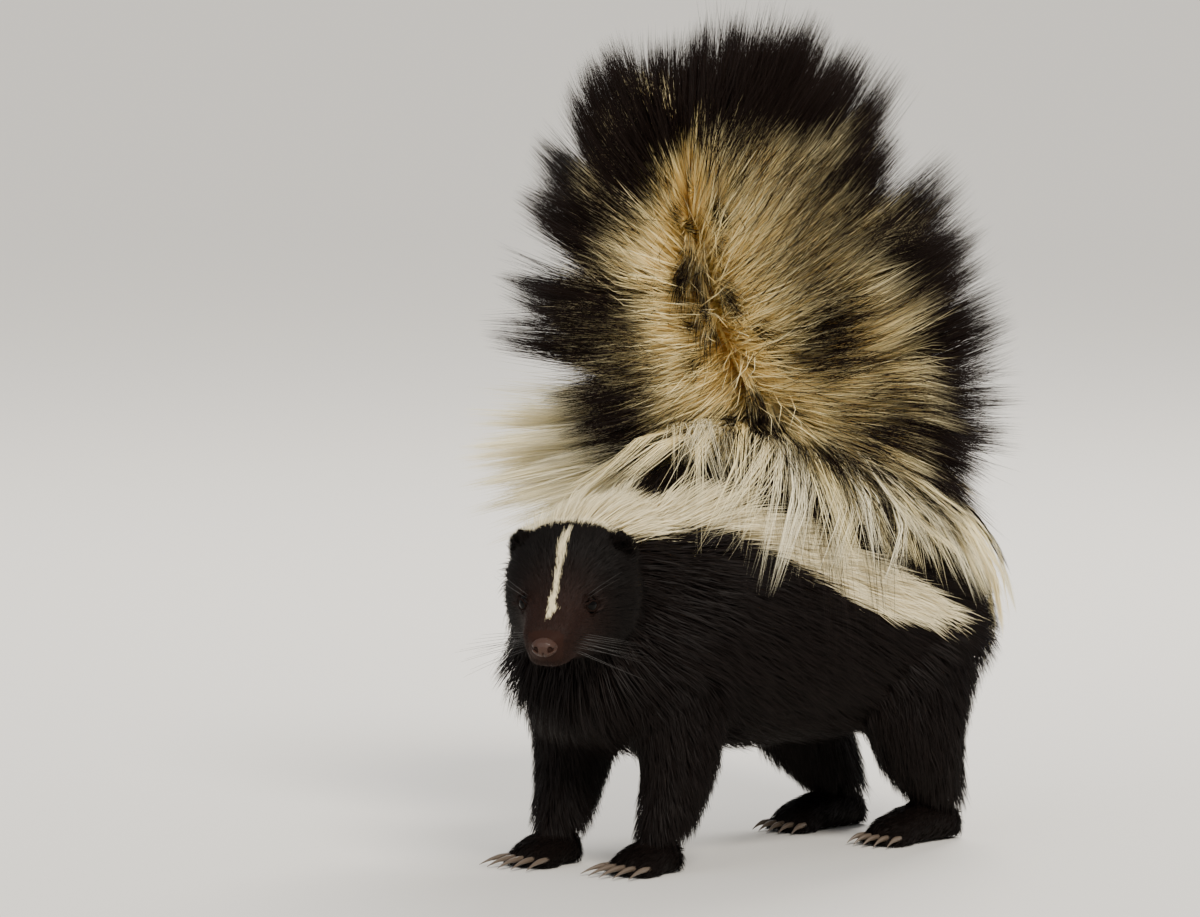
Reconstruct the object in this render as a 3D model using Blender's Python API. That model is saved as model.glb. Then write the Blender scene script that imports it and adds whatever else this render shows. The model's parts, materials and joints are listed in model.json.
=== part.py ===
"""A life-size striped skunk standing with its tail raised, parted into its named body parts.

Metres, +Z up. The trunk faces -Y, the animal's left is +X, and the soles stand on z = 0.
Each part's surface is the outline of its coat. The tail's long hair is flat, tapered locks.
"""

import math
import random
from collections import namedtuple

import bmesh
import bpy
import numpy as np
from mathutils import Matrix, Vector

CM = 0.01
GAP = 0.0003
SEED = 11
MERGE = 0.000001

# Trunk, from rump to breast: how far ahead, top and underside heights, half width, in centimetres
TRUNK_STATIONS = (
    (-13.3, 11.2, 8.6, 1.5),
    (-12.6, 12.4, 7.2, 3.2),
    (-11.0, 13.9, 5.9, 4.7),
    (-8.0, 15.5, 5.2, 5.6),
    (-3.0, 16.9, 4.9, 5.7),
    (2.0, 17.3, 5.0, 5.2),
    (6.0, 16.5, 5.3, 4.8),
    (8.8, 14.6, 5.9, 4.3),
    (11.0, 12.2, 7.0, 3.2),
    (11.9, 10.9, 8.3, 1.7),
)
TUBE_RESOLUTION = 1
TRUNK_RINGS = 20
TRUNK_RING_POINTS = 20
HIPS_AHEAD = -1.0 * CM

# Neck, from inside the shoulders to inside the skull: left, ahead, up, half width, rise, drop
NECK_STATIONS = (
    (0.0, 6.6, 11.3, 3.9, 4.4, 4.6),
    (0.3, 8.8, 11.9, 3.7, 3.9, 4.3),
    (0.8, 10.6, 12.5, 3.2, 3.2, 3.5),
    (1.5, 12.2, 12.6, 2.6, 2.6, 2.7),
)
NECK_RINGS = 8
NECK_RING_POINTS = 16

# Head: where the skull's rear end is, and how far the face turns left and nods down
HEAD_ORIGIN = Vector((1.03, -10.60, 13.06)) * CM
HEAD_TURN = math.radians(32.5)
HEAD_NOD = math.radians(15.0)
# Along the head from occiput to muzzle: forward, half width, crown height, jaw depth
HEAD_STATIONS = (
    (-0.7, 1.5, 1.4, 1.3),
    (0.1, 2.25, 2.45, 2.1),
    (1.3, 2.75, 3.0, 2.55),
    (2.6, 2.85, 3.05, 2.6),
    (3.5, 2.5, 2.75, 2.45),
    (4.3, 1.95, 2.2, 2.15),
    (5.0, 1.6, 1.55, 1.9),
    (5.7, 1.36, 1.1, 1.75),
    (6.4, 1.25, 0.82, 1.62),
    (7.0, 1.12, 0.62, 1.45),
    (7.5, 0.86, 0.42, 1.15),
    (7.8, 0.5, 0.2, 0.8),
)
HEAD_ROUNDNESS = 0.86
HEAD_RINGS = 18
HEAD_RING_POINTS = 18
EYE_RADIUS = 0.40 * CM
EYE_RINGS = 8
EYE_FORWARD, EYE_SIDE, EYE_HEIGHT = 4.78 * CM, 1.33 * CM, 0.62 * CM
EYE_GAZE = (0.66, 0.74, 0.10)
LID_THICKNESS = 0.09 * CM
EYE_OPENING_WIDTH, EYE_OPENING_HEIGHT = 0.29 * CM, 0.22 * CM
# The eye's opening is cut from here to here, as shares of its radius out along the gaze
OPENING_DEPTHS = (0.2, 1.0, 2.2)
LIP_RADIUS, MOUTH_GROOVE = 0.11 * CM, 0.045 * CM
MOUTH_CORNER, MOUTH_FRONT, MOUTH_HEIGHT = 5.0 * CM, 7.45 * CM, -0.98 * CM
MOUTH_STEPS, MOUTH_BOW = 6, 0.12 * CM
# Where the lips round the front of the muzzle, and how deep in its flesh they run there and at the corners
MOUTH_ROUNDED, LIP_DEPTH, CORNER_DEPTH = 0.82, 0.97, 0.81
NOSE_FORWARD, NOSE_HEIGHT = 7.78 * CM, -0.22 * CM
NOSE_HALF_WIDTH, NOSE_HALF_HEIGHT, NOSE_DEPTH = 0.58 * CM, 0.42 * CM, 0.42 * CM
# The nose pad from back to front: share of its depth, then of its width and height
NOSE_PROFILE = ((-1.0, 0.55), (-0.4, 0.95), (0.2, 1.0), (0.65, 0.8), (0.95, 0.42))
NOSE_DIP = 0.05 * CM
NOSTRIL_RADIUS, NOSTRIL_SIDE, NOSE_GROOVE = 0.13 * CM, 0.26 * CM, 0.05 * CM
# The groove's two ends: shares of the pad's depth ahead and of its half height down
GROOVE_ENDS = ((1.12, 0.0), (0.7, 1.2))
EAR_FORWARD, EAR_SIDE, EAR_HEIGHT = 1.75 * CM, 2.1 * CM, 2.2 * CM
EAR_HALF_WIDTH, EAR_HALF_HEIGHT, EAR_THICKNESS = 0.95 * CM, 0.85 * CM, 0.5 * CM
# Which way an ear stands and which way its cup opens: forward, aside, up
EAR_STANDS, EAR_OPENS = (0.0, 0.62, 0.78), (0.86, 0.50, 0.1)
EAR_CUP_AHEAD = 0.75

# Limbs of the left side at rest: left, ahead, up, half width across, half width along
FORELEG_STATIONS = (
    (2.2, 7.4, 11.0, 1.9, 2.6),
    (2.7, 7.0, 8.2, 2.0, 2.6),
    (3.0, 6.6, 5.6, 1.8, 2.2),
    (2.95, 6.9, 3.6, 1.5, 1.75),
    (2.8, 7.4, 2.1, 1.25, 1.4),
    (2.7, 7.7, 0.9, 1.1, 1.2),
)
HINDLEG_STATIONS = (
    (2.9, -7.8, 11.2, 2.3, 3.6),
    (3.6, -7.5, 8.2, 2.4, 3.7),
    (3.75, -7.8, 5.6, 2.1, 2.9),
    (3.5, -8.9, 3.6, 1.6, 2.0),
    (3.3, -9.7, 2.2, 1.25, 1.45),
    (3.2, -9.9, 0.9, 1.05, 1.1),
)
LEG_RINGS = 10
LEG_RING_POINTS = 14
WRIST_HEIGHT = 1.75 * CM
HOCK_HEIGHT = 2.0 * CM
RIGHT_FORE_SHIFT = 0.9 * CM
RIGHT_HIND_SHIFT = -0.5 * CM
# A leg's shift ahead is full at the foot and fades out up the leg, in centimetres
SHIFT_FULL_BELOW, SHIFT_FADES_OVER = 1.0, 9.0

# Paws: sole length, half width, instep height and the claws' length
Paw = namedtuple("Paw", "heel toes half_width instep claw spread")
# A paw from heel to toes: how far along, and the shares of its half width and of its instep's height
PAW_PROFILE = (
    (0.0, 0.5, 0.55),
    (0.12, 0.78, 0.85),
    (0.35, 0.9, 1.0),
    (0.6, 1.0, 0.85),
    (0.82, 0.98, 0.62),
    (0.97, 0.7, 0.42),
)
PAW_MIDDLE = 0.45
TOE_SETBACK, OUTER_TOE_SETBACK, TOE_LENGTH = 0.75 * CM, 0.30 * CM, 0.95 * CM
# A toe and a claw from root to tip: how far along, and the share of the full radius
TOE_PROFILE = ((-0.4, 0.8), (0.2, 1.0), (0.7, 0.95), (0.95, 0.6))
TOE_DIP = 0.06
CLAW_PROFILE = ((-0.2, 1.0), (0.35, 0.85), (0.75, 0.5), (1.0, 0.14))
CLAW_NARROWNESS = 0.75
CLAW_RISE, CLAW_DROP = 0.06 * CM, 0.26 * CM
# An ear and its cup from foot to rim: share of the half height, then of the half width and thickness
EAR_PROFILE = (
    (-0.9, 0.55, 0.6),
    (-0.35, 0.85, 0.95),
    (0.15, 1.0, 1.0),
    (0.6, 0.85, 0.8),
    (0.95, 0.42, 0.5),
)
EAR_HOLLOW_PROFILE = (
    (-0.5, 0.3, 0.3),
    (-0.1, 0.62, 0.75),
    (0.3, 0.68, 0.8),
    (0.62, 0.5, 0.6),
    (0.8, 0.2, 0.3),
)
# A nostril's inner and outer end: share of the pad's depth, share of its distance aside, and rise
NOSTRIL_ENDS = ((0.25, 0.9, -0.02 * CM), (1.3, 1.5, 0.02 * CM))
FOREPAW = Paw(
    heel=6.5 * CM, toes=9.7 * CM, half_width=1.25 * CM, instep=1.75 * CM, claw=1.35 * CM, spread=12
)
HINDPAW = Paw(
    heel=-11.0 * CM, toes=-5.9 * CM, half_width=1.2 * CM, instep=2.0 * CM, claw=0.8 * CM, spread=9
)
TOES = 5
TOE_RADIUS = 0.36 * CM
CLAW_RADIUS = 0.14 * CM
SOLE_SINK = 0.15 * CM

# Tail: the bone's line, left, ahead, up, then the radius of the dense underfur round it
TAIL_STATIONS = (
    (0.0, -9.6, 12.0, 1.9),
    (-0.3, -9.4, 14.9, 2.0),
    (-1.2, -5.3, 17.9, 2.5),
    (-1.5, -2.2, 21.3, 3.6),
    (-1.5, 0.3, 25.3, 4.2),
    (-1.4, 1.4, 28.6, 3.7),
    (-1.3, 1.5, 30.4, 2.0),
)
TAIL_RINGS = 18
TAIL_RING_POINTS = 12
TAIL_CUTS = (0.0, 0.36, 0.68, 1.0)
TAIL_NAMES = ("tail_base", "tail_middle", "tail_tip")

# Locks of the tail's long hair: how far the tips stand from the bone, and each lock's own form
LOCK_REACH, LOCK_REACH_REAR = 9.8 * CM, 0.6 * CM
LOCK_WIDTH, LOCK_FLATNESS, LOCK_LEAST = 2.8 * CM, 0.24, 0.05 * CM
LOCK_PROFILE = ((0.0, 0.62), (0.3, 1.0), (0.6, 0.82), (0.84, 0.42), (1.0, 0.04))
LOCK_ROOT_DEPTH = 0.5
LOCK_TWIST = math.radians(35)
PLUME_FROM, PLUME_TO, PLUME_TIERS, PLUME_LOCKS = 0.385, 0.93, 8, 9
# Lean towards the tail's tip at the bone's root and what is added by its end, ahead and behind, in degrees
LEAN_AHEAD, LEAN_BEHIND = (-50, 115), (-66, 122)
# How much the turn, lean and droop of a lock vary, in radians, and the least and most of its full length
TURN_VARIES, LEAN_VARIES, DROOP_VARIES = 0.08, 0.05, math.radians(4)
PLUME_LENGTHS, TIP_LENGTHS, BASE_LENGTHS = (0.9, 1.06), (0.94, 1.04), (0.92, 1.06)
# A lock's direction at its root and at its end, as shares of its lean or droop
LEAN_BEND, DROOP_BEND = (0.7, 1.2), (0.3, 1.3)
TOP_FROM, TOP_SHORTENING = 0.75, 0.18
TIP_LOCKS, TIP_REACH, TIP_SPREAD = 7, 7.6 * CM, 0.42
TIP_FROM, TIP_FLARE, TIP_BACKSWEEP, TIP_WIDTH = 0.95, 1.3, 0.12, LOCK_WIDTH * 0.8
# Tiers at the tail's root: share of the bone, reach in centimetres, and droop ahead, beside and behind
BASE_TIERS = (
    (0.11, 7.4, 48, 74, 54),
    (0.18, 8.4, 34, 66, 36),
    (0.25, 9.1, 22, 54, 18),
    (0.32, 9.6, 8, 38, 2),
)
BASE_LOCKS = 9
# The long fan over the right shoulder, in the plume's lowest tier: where it points, its extra reach and lift
FAN_TURN, FAN_REACH, FAN_LIFT = math.radians(-50), 2.4 * CM, math.radians(26)
REAR_SHORTENING = 0.22
BODY_CLEARANCE = 0.4 * CM

COAT_BLACK = (0.012, 0.009, 0.008, 1.0)
COAT_BROWN = (0.030, 0.018, 0.014, 1.0)
COAT_CREAM = (0.62, 0.52, 0.34, 1.0)
NOSE_PINK = (0.20, 0.115, 0.10, 1.0)
EYE_DARK = (0.006, 0.005, 0.005, 1.0)

Section = namedtuple("Section", "centre side up half_width rise drop")


def clear_scene():
    """Removes what the scene starts with."""
    for thing in list(bpy.data.objects):
        bpy.data.objects.remove(thing, do_unlink=True)


def collection_named(name):
    """A new collection linked to the scene."""
    group = bpy.data.collections.new(name)
    bpy.context.scene.collection.children.link(group)
    return group


def material(name, colour, roughness):
    """A plain non-metallic material."""
    made = bpy.data.materials.new(name)
    made.use_nodes = True
    shader = made.node_tree.nodes["Principled BSDF"]
    shader.inputs["Base Color"].default_value = colour
    shader.inputs["Roughness"].default_value = roughness
    shader.inputs["Metallic"].default_value = 0.0
    made.diffuse_color = colour
    return made


def place(left, ahead, up):
    """A point in metres from centimetres to the animal's left, ahead and up."""
    return Vector((left, -ahead, up)) * CM


def smooth_rows(rows, count):
    """Rows of numbers read at count even steps of a smooth curve through them."""
    rows = np.array(rows, float)
    padded = np.vstack([2 * rows[0] - rows[1], rows, 2 * rows[-1] - rows[-2]])
    out = []
    for step in np.linspace(0, len(rows) - 1, count):
        k = min(int(step), len(rows) - 2)
        t = step - k
        a, b, c, d = padded[k : k + 4]
        bend = (2 * a - 5 * b + 4 * c - d) * t**2 + (3 * b - a - 3 * c + d) * t**3
        out.append(0.5 * (2 * b + (c - a) * t + bend))
    return np.array(out)


def mesh_object(name, verts, faces, group):
    """An object from points and faces, with its faces turned outwards."""
    mesh = bpy.data.meshes.new(name)
    mesh.from_pydata([tuple(v) for v in verts], [], faces)
    work = bmesh.new()
    work.from_mesh(mesh)
    bmesh.ops.recalc_face_normals(work, faces=work.faces)
    work.to_mesh(mesh)
    work.free()
    made = bpy.data.objects.new(name, mesh)
    group.objects.link(made)
    return made


def loft(name, sections, points, group, roundness=1.0):
    """A closed body through oval sections, with a flat cap at each end. Below 1, sections are squarer."""
    verts = []
    for section in sections:
        for k in range(points):
            turn = 2 * math.pi * k / points
            wide = math.copysign(abs(math.cos(turn)) ** roundness, math.cos(turn)) * section.half_width
            tall = math.copysign(abs(math.sin(turn)) ** roundness, math.sin(turn))
            tall *= section.rise if tall > 0 else section.drop
            verts.append(section.centre + section.side * wide + section.up * tall)
    faces = []
    for ring in range(len(sections) - 1):
        first = ring * points
        for k in range(points):
            after = (k + 1) % points
            faces.append((first + k, first + after, first + points + after, first + points + k))
    faces.append(tuple(range(points)))
    faces.append(tuple(range(len(verts) - points, len(verts))))
    return mesh_object(name, verts, faces, group)


def sections_along(rows, side):
    """Sections across a path. A row is left, ahead, up, half width, rise, drop, in centimetres."""
    centres = [place(*row[:3]) for row in rows]
    sections = []
    for k, row in enumerate(rows):
        along = (centres[min(k + 1, len(rows) - 1)] - centres[max(k - 1, 0)]).normalized()
        across = (side - along * side.dot(along)).normalized()
        up = across.cross(along)
        sections.append(Section(centres[k], across, up, row[3] * CM, row[4] * CM, row[5] * CM))
    return sections


def grown(source, distance, group):
    """A copy whose surface stands out from the source's by a distance."""
    work = bmesh.new()
    work.from_mesh(source.data)
    work.normal_update()
    for vert in work.verts:
        vert.co += vert.normal * distance * vert.calc_shell_factor()
    mesh = bpy.data.meshes.new(source.name + "_grown")
    work.to_mesh(mesh)
    work.free()
    made = bpy.data.objects.new(mesh.name, mesh)
    group.objects.link(made)
    return made


def apply_modifiers(target):
    """Makes the evaluated mesh the object's own."""
    graph = bpy.context.evaluated_depsgraph_get()
    mesh = bpy.data.meshes.new_from_object(target.evaluated_get(graph))
    target.modifiers.clear()
    target.data = mesh


def boolean(target, others, operation, solver="MANIFOLD"):
    """Joins or cuts the target with closed mesh objects, which are then removed."""
    helpers = bpy.data.collections.new("helpers")
    for other in others:
        for group in list(other.users_collection):
            group.objects.unlink(other)
        helpers.objects.link(other)
    bpy.context.scene.collection.children.link(helpers)
    modifier = target.modifiers.new(operation.lower(), "BOOLEAN")
    modifier.operation = operation
    modifier.solver = solver
    if solver == "EXACT":
        modifier.use_self = operation == "UNION"
    modifier.operand_type = "COLLECTION"
    modifier.collection = helpers
    bpy.context.view_layer.update()
    apply_modifiers(target)
    for other in list(helpers.objects):
        bpy.data.objects.remove(other, do_unlink=True)
    bpy.data.collections.remove(helpers)
    keep_largest(target)
    return target


def keep_largest(target):
    """Keeps the closed surface that holds the most, which drops loose scraps and fills sealed hollows."""
    work = bmesh.new()
    work.from_mesh(target.data)
    bmesh.ops.triangulate(work, faces=work.faces)
    unseen = set(work.faces)
    shells = []
    while unseen:
        start = unseen.pop()
        shell, front = [start], [start]
        while front:
            for edge in front.pop().edges:
                for face in edge.link_faces:
                    if face in unseen:
                        unseen.remove(face)
                        shell.append(face)
                        front.append(face)
        shells.append(shell)
    volumes = []
    for shell in shells:
        volumes.append(sum(f.verts[0].co.dot(f.verts[1].co.cross(f.verts[2].co)) for f in shell))
    largest = shells[int(np.argmax(np.abs(volumes)))]
    spare = [f for shell in shells if shell is not largest for f in shell]
    if spare:
        bmesh.ops.delete(work, geom=spare, context="FACES")
        bmesh.ops.delete(work, geom=[v for v in work.verts if not v.link_faces], context="VERTS")
    work.to_mesh(target.data)
    work.free()


def slice_off(target, point, outward):
    """Cuts away what lies beyond a plane and closes the cut."""
    work = bmesh.new()
    work.from_mesh(target.data)
    geometry = work.verts[:] + work.edges[:] + work.faces[:]
    cut = bmesh.ops.bisect_plane(
        work, geom=geometry, plane_co=point, plane_no=outward, clear_outer=True, dist=MERGE
    )
    rim = [e for e in cut["geom_cut"] if isinstance(e, bmesh.types.BMEdge)]
    bmesh.ops.contextual_create(work, geom=rim)
    bmesh.ops.recalc_face_normals(work, faces=work.faces)
    work.to_mesh(target.data)
    work.free()


def duplicate(source, name, group):
    """A copy of an object with its own mesh."""
    made = bpy.data.objects.new(name, source.data.copy())
    group.objects.link(made)
    return made


def finish(target, name, group, finish_material):
    """Names a body part, gives it its material and shades it smooth."""
    target.name = name
    target.data.name = name
    target.data.materials.clear()
    target.data.materials.append(finish_material)
    for other in list(target.users_collection):
        other.objects.unlink(target)
    group.objects.link(target)
    target.data.shade_smooth()
    return target


def trunk_rows():
    """Sections of the trunk as rows for sections_along."""
    rows = []
    for ahead, top, under, half_width in smooth_rows(TRUNK_STATIONS, TRUNK_RINGS):
        middle = (top + under) / 2
        tall = (top - under) / 2
        rows.append((0.0, ahead, middle, half_width, tall, tall))
    return rows


def upright_sections(rows):
    """Sections that stand square to the Y axis."""
    across, tall = Vector((1, 0, 0)), Vector((0, 0, 1))
    return [Section(place(*r[:3]), across, tall, r[3] * CM, r[4] * CM, r[5] * CM) for r in rows]


def clear_of_trunk(point, clearance):
    """The point, moved straight out of the trunk's section until it is clear of the surface."""
    rows = np.array(trunk_rows())
    ahead = -point.y / CM
    if not rows[0][1] < ahead < rows[-1][1]:
        return point
    middle, half_width, tall = (np.interp(ahead, rows[:, 1], rows[:, k]) * CM for k in (2, 3, 4))
    across = Vector((point.x / (half_width + clearance), 0, (point.z - middle) / (tall + clearance)))
    if across.length >= 1:
        return point
    across.normalize()
    return Vector((across.x * (half_width + clearance), point.y, middle + across.z * (tall + clearance)))


def make_trunk(group):
    """The whole trunk, parted later into chest and hips."""
    return loft("trunk", upright_sections(trunk_rows()), TRUNK_RING_POINTS, group)


class HeadFrame:
    """Turns distances along, across and above the head into points."""

    def __init__(self):
        turn, nod = HEAD_TURN, HEAD_NOD
        level = Vector((math.sin(turn), -math.cos(turn), 0))
        self.forward = level * math.cos(nod) - Vector((0, 0, math.sin(nod)))
        self.side = Vector((math.cos(turn), math.sin(turn), 0.0))
        self.up = self.forward.cross(self.side)
        self.rows = smooth_rows(HEAD_STATIONS, HEAD_RINGS)

    def point(self, forward, side, height):
        return HEAD_ORIGIN + self.forward * forward + self.side * side + self.up * height

    def direction(self, forward, side, height):
        return (self.forward * forward + self.side * side + self.up * height).normalized()

    def half_width_at(self, forward, height):
        """How far the head reaches to the side at a height, in metres."""
        read = [np.interp(forward / CM, self.rows[:, 0], self.rows[:, k]) * CM for k in (1, 2, 3)]
        half_width, crown, jaw = read
        share = min(1.0, abs(height) / (crown if height > 0 else jaw))
        return half_width * (1 - share ** (2 / HEAD_ROUNDNESS)) ** (HEAD_ROUNDNESS / 2)


def make_head(frame, group):
    """The head's closed outline, from occiput to muzzle."""
    sections = []
    for forward, half_width, crown, jaw in frame.rows:
        centre = frame.point(forward * CM, 0, 0)
        sections.append(Section(centre, frame.side, frame.up, half_width * CM, crown * CM, jaw * CM))
    return loft("head", sections, HEAD_RING_POINTS, group, HEAD_ROUNDNESS)


def tube(name, path, radius, closed, group):
    """A round tube along a path, made as a curve and turned into a closed mesh."""
    curve = bpy.data.curves.new(name, "CURVE")
    curve.dimensions = "3D"
    curve.bevel_depth = radius
    curve.bevel_resolution = TUBE_RESOLUTION
    curve.use_fill_caps = not closed
    spline = curve.splines.new("POLY")
    spline.points.add(len(path) - 1)
    for point, position in zip(spline.points, path):
        point.co = (*position, 1.0)
    spline.use_cyclic_u = closed
    guide = bpy.data.objects.new(name + "_path", curve)
    group.objects.link(guide)
    bpy.context.view_layer.update()
    mesh = bpy.data.meshes.new_from_object(guide.evaluated_get(bpy.context.evaluated_depsgraph_get()))
    bpy.data.objects.remove(guide, do_unlink=True)
    work = bmesh.new()
    work.from_mesh(mesh)
    bmesh.ops.remove_doubles(work, verts=work.verts, dist=MERGE)
    bmesh.ops.recalc_face_normals(work, faces=work.faces)
    work.to_mesh(mesh)
    work.free()
    made = bpy.data.objects.new(name, mesh)
    group.objects.link(made)
    return made


def eye_centre(frame, side):
    """The middle of the left (1) or right (-1) eyeball."""
    return frame.point(EYE_FORWARD, side * EYE_SIDE, EYE_HEIGHT)


def ball(name, centre, radius, rings, group):
    """A round ball."""
    work = bmesh.new()
    bmesh.ops.create_uvsphere(work, u_segments=rings + rings // 2, v_segments=rings, radius=radius)
    bmesh.ops.translate(work, verts=work.verts, vec=centre)
    mesh = bpy.data.meshes.new(name)
    work.to_mesh(mesh)
    work.free()
    made = bpy.data.objects.new(name, mesh)
    group.objects.link(made)
    return made


def add_lids(head, frame, side, group):
    """Wraps one eye in its lids, hollowed for the eyeball and open in an almond shape."""
    centre = eye_centre(frame, side)
    gaze = frame.direction(EYE_GAZE[0], side * EYE_GAZE[1], EYE_GAZE[2])
    across = frame.up.cross(gaze).normalized()
    up = gaze.cross(across)
    boolean(head, [ball("lids", centre, EYE_RADIUS + LID_THICKNESS, EYE_RINGS + 2, group)], "UNION")
    opening = []
    for share in OPENING_DEPTHS:
        point = centre + gaze * (EYE_RADIUS * share)
        opening.append(Section(point, across, up, EYE_OPENING_WIDTH, EYE_OPENING_HEIGHT, EYE_OPENING_HEIGHT))
    cutters = [
        loft("opening", opening, 10, group, 1.25),
        ball("socket", centre, EYE_RADIUS + GAP, EYE_RINGS, group),
    ]
    boolean(head, cutters, "DIFFERENCE")


def mouth_path(frame, lower):
    """The line of the lips from one corner round the front of the muzzle to the other."""
    path = []
    for k in range(-MOUTH_STEPS, MOUTH_STEPS + 1):
        share = 1 - abs(k) / MOUTH_STEPS
        forward = MOUTH_CORNER + (MOUTH_FRONT - MOUTH_CORNER) * math.sin(share * math.pi / 2)
        height = MOUTH_HEIGHT + MOUTH_BOW * math.cos(share * math.pi * 1.5) - lower
        reach = frame.half_width_at(forward, height)
        if share > MOUTH_ROUNDED:
            reach *= 0.9 * (1 - share) / (1 - MOUTH_ROUNDED)
        buried = LIP_DEPTH - (LIP_DEPTH - CORNER_DEPTH) * (1 - share) ** 3
        path.append(frame.point(forward, math.copysign(reach * buried, k), height))
    return path


def make_nose(frame, group):
    """The nose pad with its two nostrils and the groove between them."""
    sections = []
    for share, size in NOSE_PROFILE:
        centre = frame.point(NOSE_FORWARD + NOSE_DEPTH * share, 0, NOSE_HEIGHT - NOSE_DIP * share)
        sections.append(
            Section(centre, frame.side, frame.up, NOSE_HALF_WIDTH * size, *[NOSE_HALF_HEIGHT * size] * 2)
        )
    nose = loft("nose", sections, 14, group)
    cutters = []
    for side in (-1, 1):
        ends = []
        for deep, apart, rise in NOSTRIL_ENDS:
            forward, aside = NOSE_FORWARD + NOSE_DEPTH * deep, side * NOSTRIL_SIDE * apart
            ends.append(frame.point(forward, aside, NOSE_HEIGHT + rise))
        inner, outer = ends
        path = [inner, (inner + outer) / 2, outer]
        cutters.append(tube("nostril", path, NOSTRIL_RADIUS, False, group))
    top, foot = (
        frame.point(NOSE_FORWARD + NOSE_DEPTH * deep, 0, NOSE_HEIGHT - NOSE_HALF_HEIGHT * down)
        for deep, down in GROOVE_ENDS
    )
    cutters.append(tube("groove", [top, (top + foot) / 2, foot], NOSE_GROOVE, False, group))
    return boolean(nose, cutters, "DIFFERENCE")


def make_ear(frame, side, group):
    """A low rounded ear, hollowed to a cup that opens forward and out."""
    root = frame.point(EAR_FORWARD, side * EAR_SIDE, EAR_HEIGHT)
    out, face = (
        frame.direction(ahead, side * aside, up) for ahead, aside, up in (EAR_STANDS, EAR_OPENS)
    )
    face = (face - out * face.dot(out)).normalized()
    across = out.cross(face)
    sections = []
    for share, wide, thick in EAR_PROFILE:
        centre = root + out * (EAR_HALF_HEIGHT * share)
        sections.append(
            Section(centre, across, face, EAR_HALF_WIDTH * wide, *[EAR_THICKNESS * thick] * 2)
        )
    ear = loft("ear", sections, 14, group)
    hollow = []
    for share, wide, thick in EAR_HOLLOW_PROFILE:
        centre = root + out * (EAR_HALF_HEIGHT * share) + face * (EAR_THICKNESS * EAR_CUP_AHEAD)
        hollow.append(Section(centre, across, face, EAR_HALF_WIDTH * wide, *[EAR_THICKNESS * thick] * 2))
    return boolean(ear, [loft("cup", hollow, 10, group)], "DIFFERENCE")


def leg_rows(stations, side, shift):
    """A leg's stations as rows for sections_along, mirrored and moved ahead where asked."""
    rows = []
    for left, ahead, up, across, along in smooth_rows(stations, LEG_RINGS):
        share = 1 - min(1.0, max(0.0, up - SHIFT_FULL_BELOW) / SHIFT_FADES_OVER)
        rows.append((side * left, ahead + share * shift / CM, up, across, along, along))
    return rows


def make_leg(stations, side, shift, group):
    """A whole leg as a loft down its path, from inside the trunk to inside the paw."""
    sections = sections_along(leg_rows(stations, side, shift), Vector((1, 0, 0)))
    return loft("leg", sections, LEG_RING_POINTS, group)


def make_paw(paw, left, shift, group):
    """A flat-soled paw with five toes, each with its curved claw."""
    heel, toes = paw.heel + shift, paw.toes + shift
    length = toes - heel
    middle = paw.instep * PAW_MIDDLE
    sections = []
    for share, wide, tall in PAW_PROFILE:
        centre = Vector((left, -(heel + length * share), middle * (1 - PAW_MIDDLE * (1 - tall))))
        tall_half = paw.instep * (1 - PAW_MIDDLE) * tall
        across, tall = Vector((1, 0, 0)), Vector((0, 0, 1))
        sections.append(Section(centre, across, tall, paw.half_width * wide, tall_half, middle + SOLE_SINK))
    body = loft("paw", sections, 12, group)
    pieces = []
    for toe in range(TOES):
        place_across = (toe - (TOES - 1) / 2) / ((TOES - 1) / 2)
        turn = math.radians(paw.spread) * place_across
        forward = Vector((math.sin(turn), -math.cos(turn), 0))
        setback = OUTER_TOE_SETBACK * place_across**2
        toe_left = left + place_across * (paw.half_width - TOE_RADIUS * 0.7)
        root = Vector((toe_left, -(toes - TOE_SETBACK - setback), TOE_RADIUS * 0.9))
        pieces.append(make_toe(root, forward, group))
        pieces.append(make_claw(root + forward * TOE_LENGTH, forward, paw.claw, group))
    boolean(body, pieces, "UNION")
    slice_off(body, Vector((0, 0, 0)), Vector((0, 0, -1)))
    return body


def make_toe(root, forward, group):
    """One toe, rooted in the paw."""
    side = forward.cross(Vector((0, 0, 1)))
    sections = []
    for share, size in TOE_PROFILE:
        radius = TOE_RADIUS * size
        centre = root + forward * (share * CM) + Vector((0, 0, (0.62 - share) * TOE_DIP * CM))
        sections.append(Section(centre, side, Vector((0, 0, 1)), radius, radius, radius + SOLE_SINK))
    return loft("toe", sections, 6, group)


def make_claw(root, forward, length, group):
    """One curved, tapered claw whose tip comes down close to the floor."""
    side = forward.cross(Vector((0, 0, 1)))
    sections = []
    for share, size in CLAW_PROFILE:
        rise = CLAW_RISE - CLAW_DROP * max(0.0, share) ** 2
        centre = root + forward * (length * share) + Vector((0, 0, rise))
        radius = CLAW_RADIUS * size
        sections.append(Section(centre, side, Vector((0, 0, 1)), radius * CLAW_NARROWNESS, radius, radius))
    return loft("claw", sections, 5, group)


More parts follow.
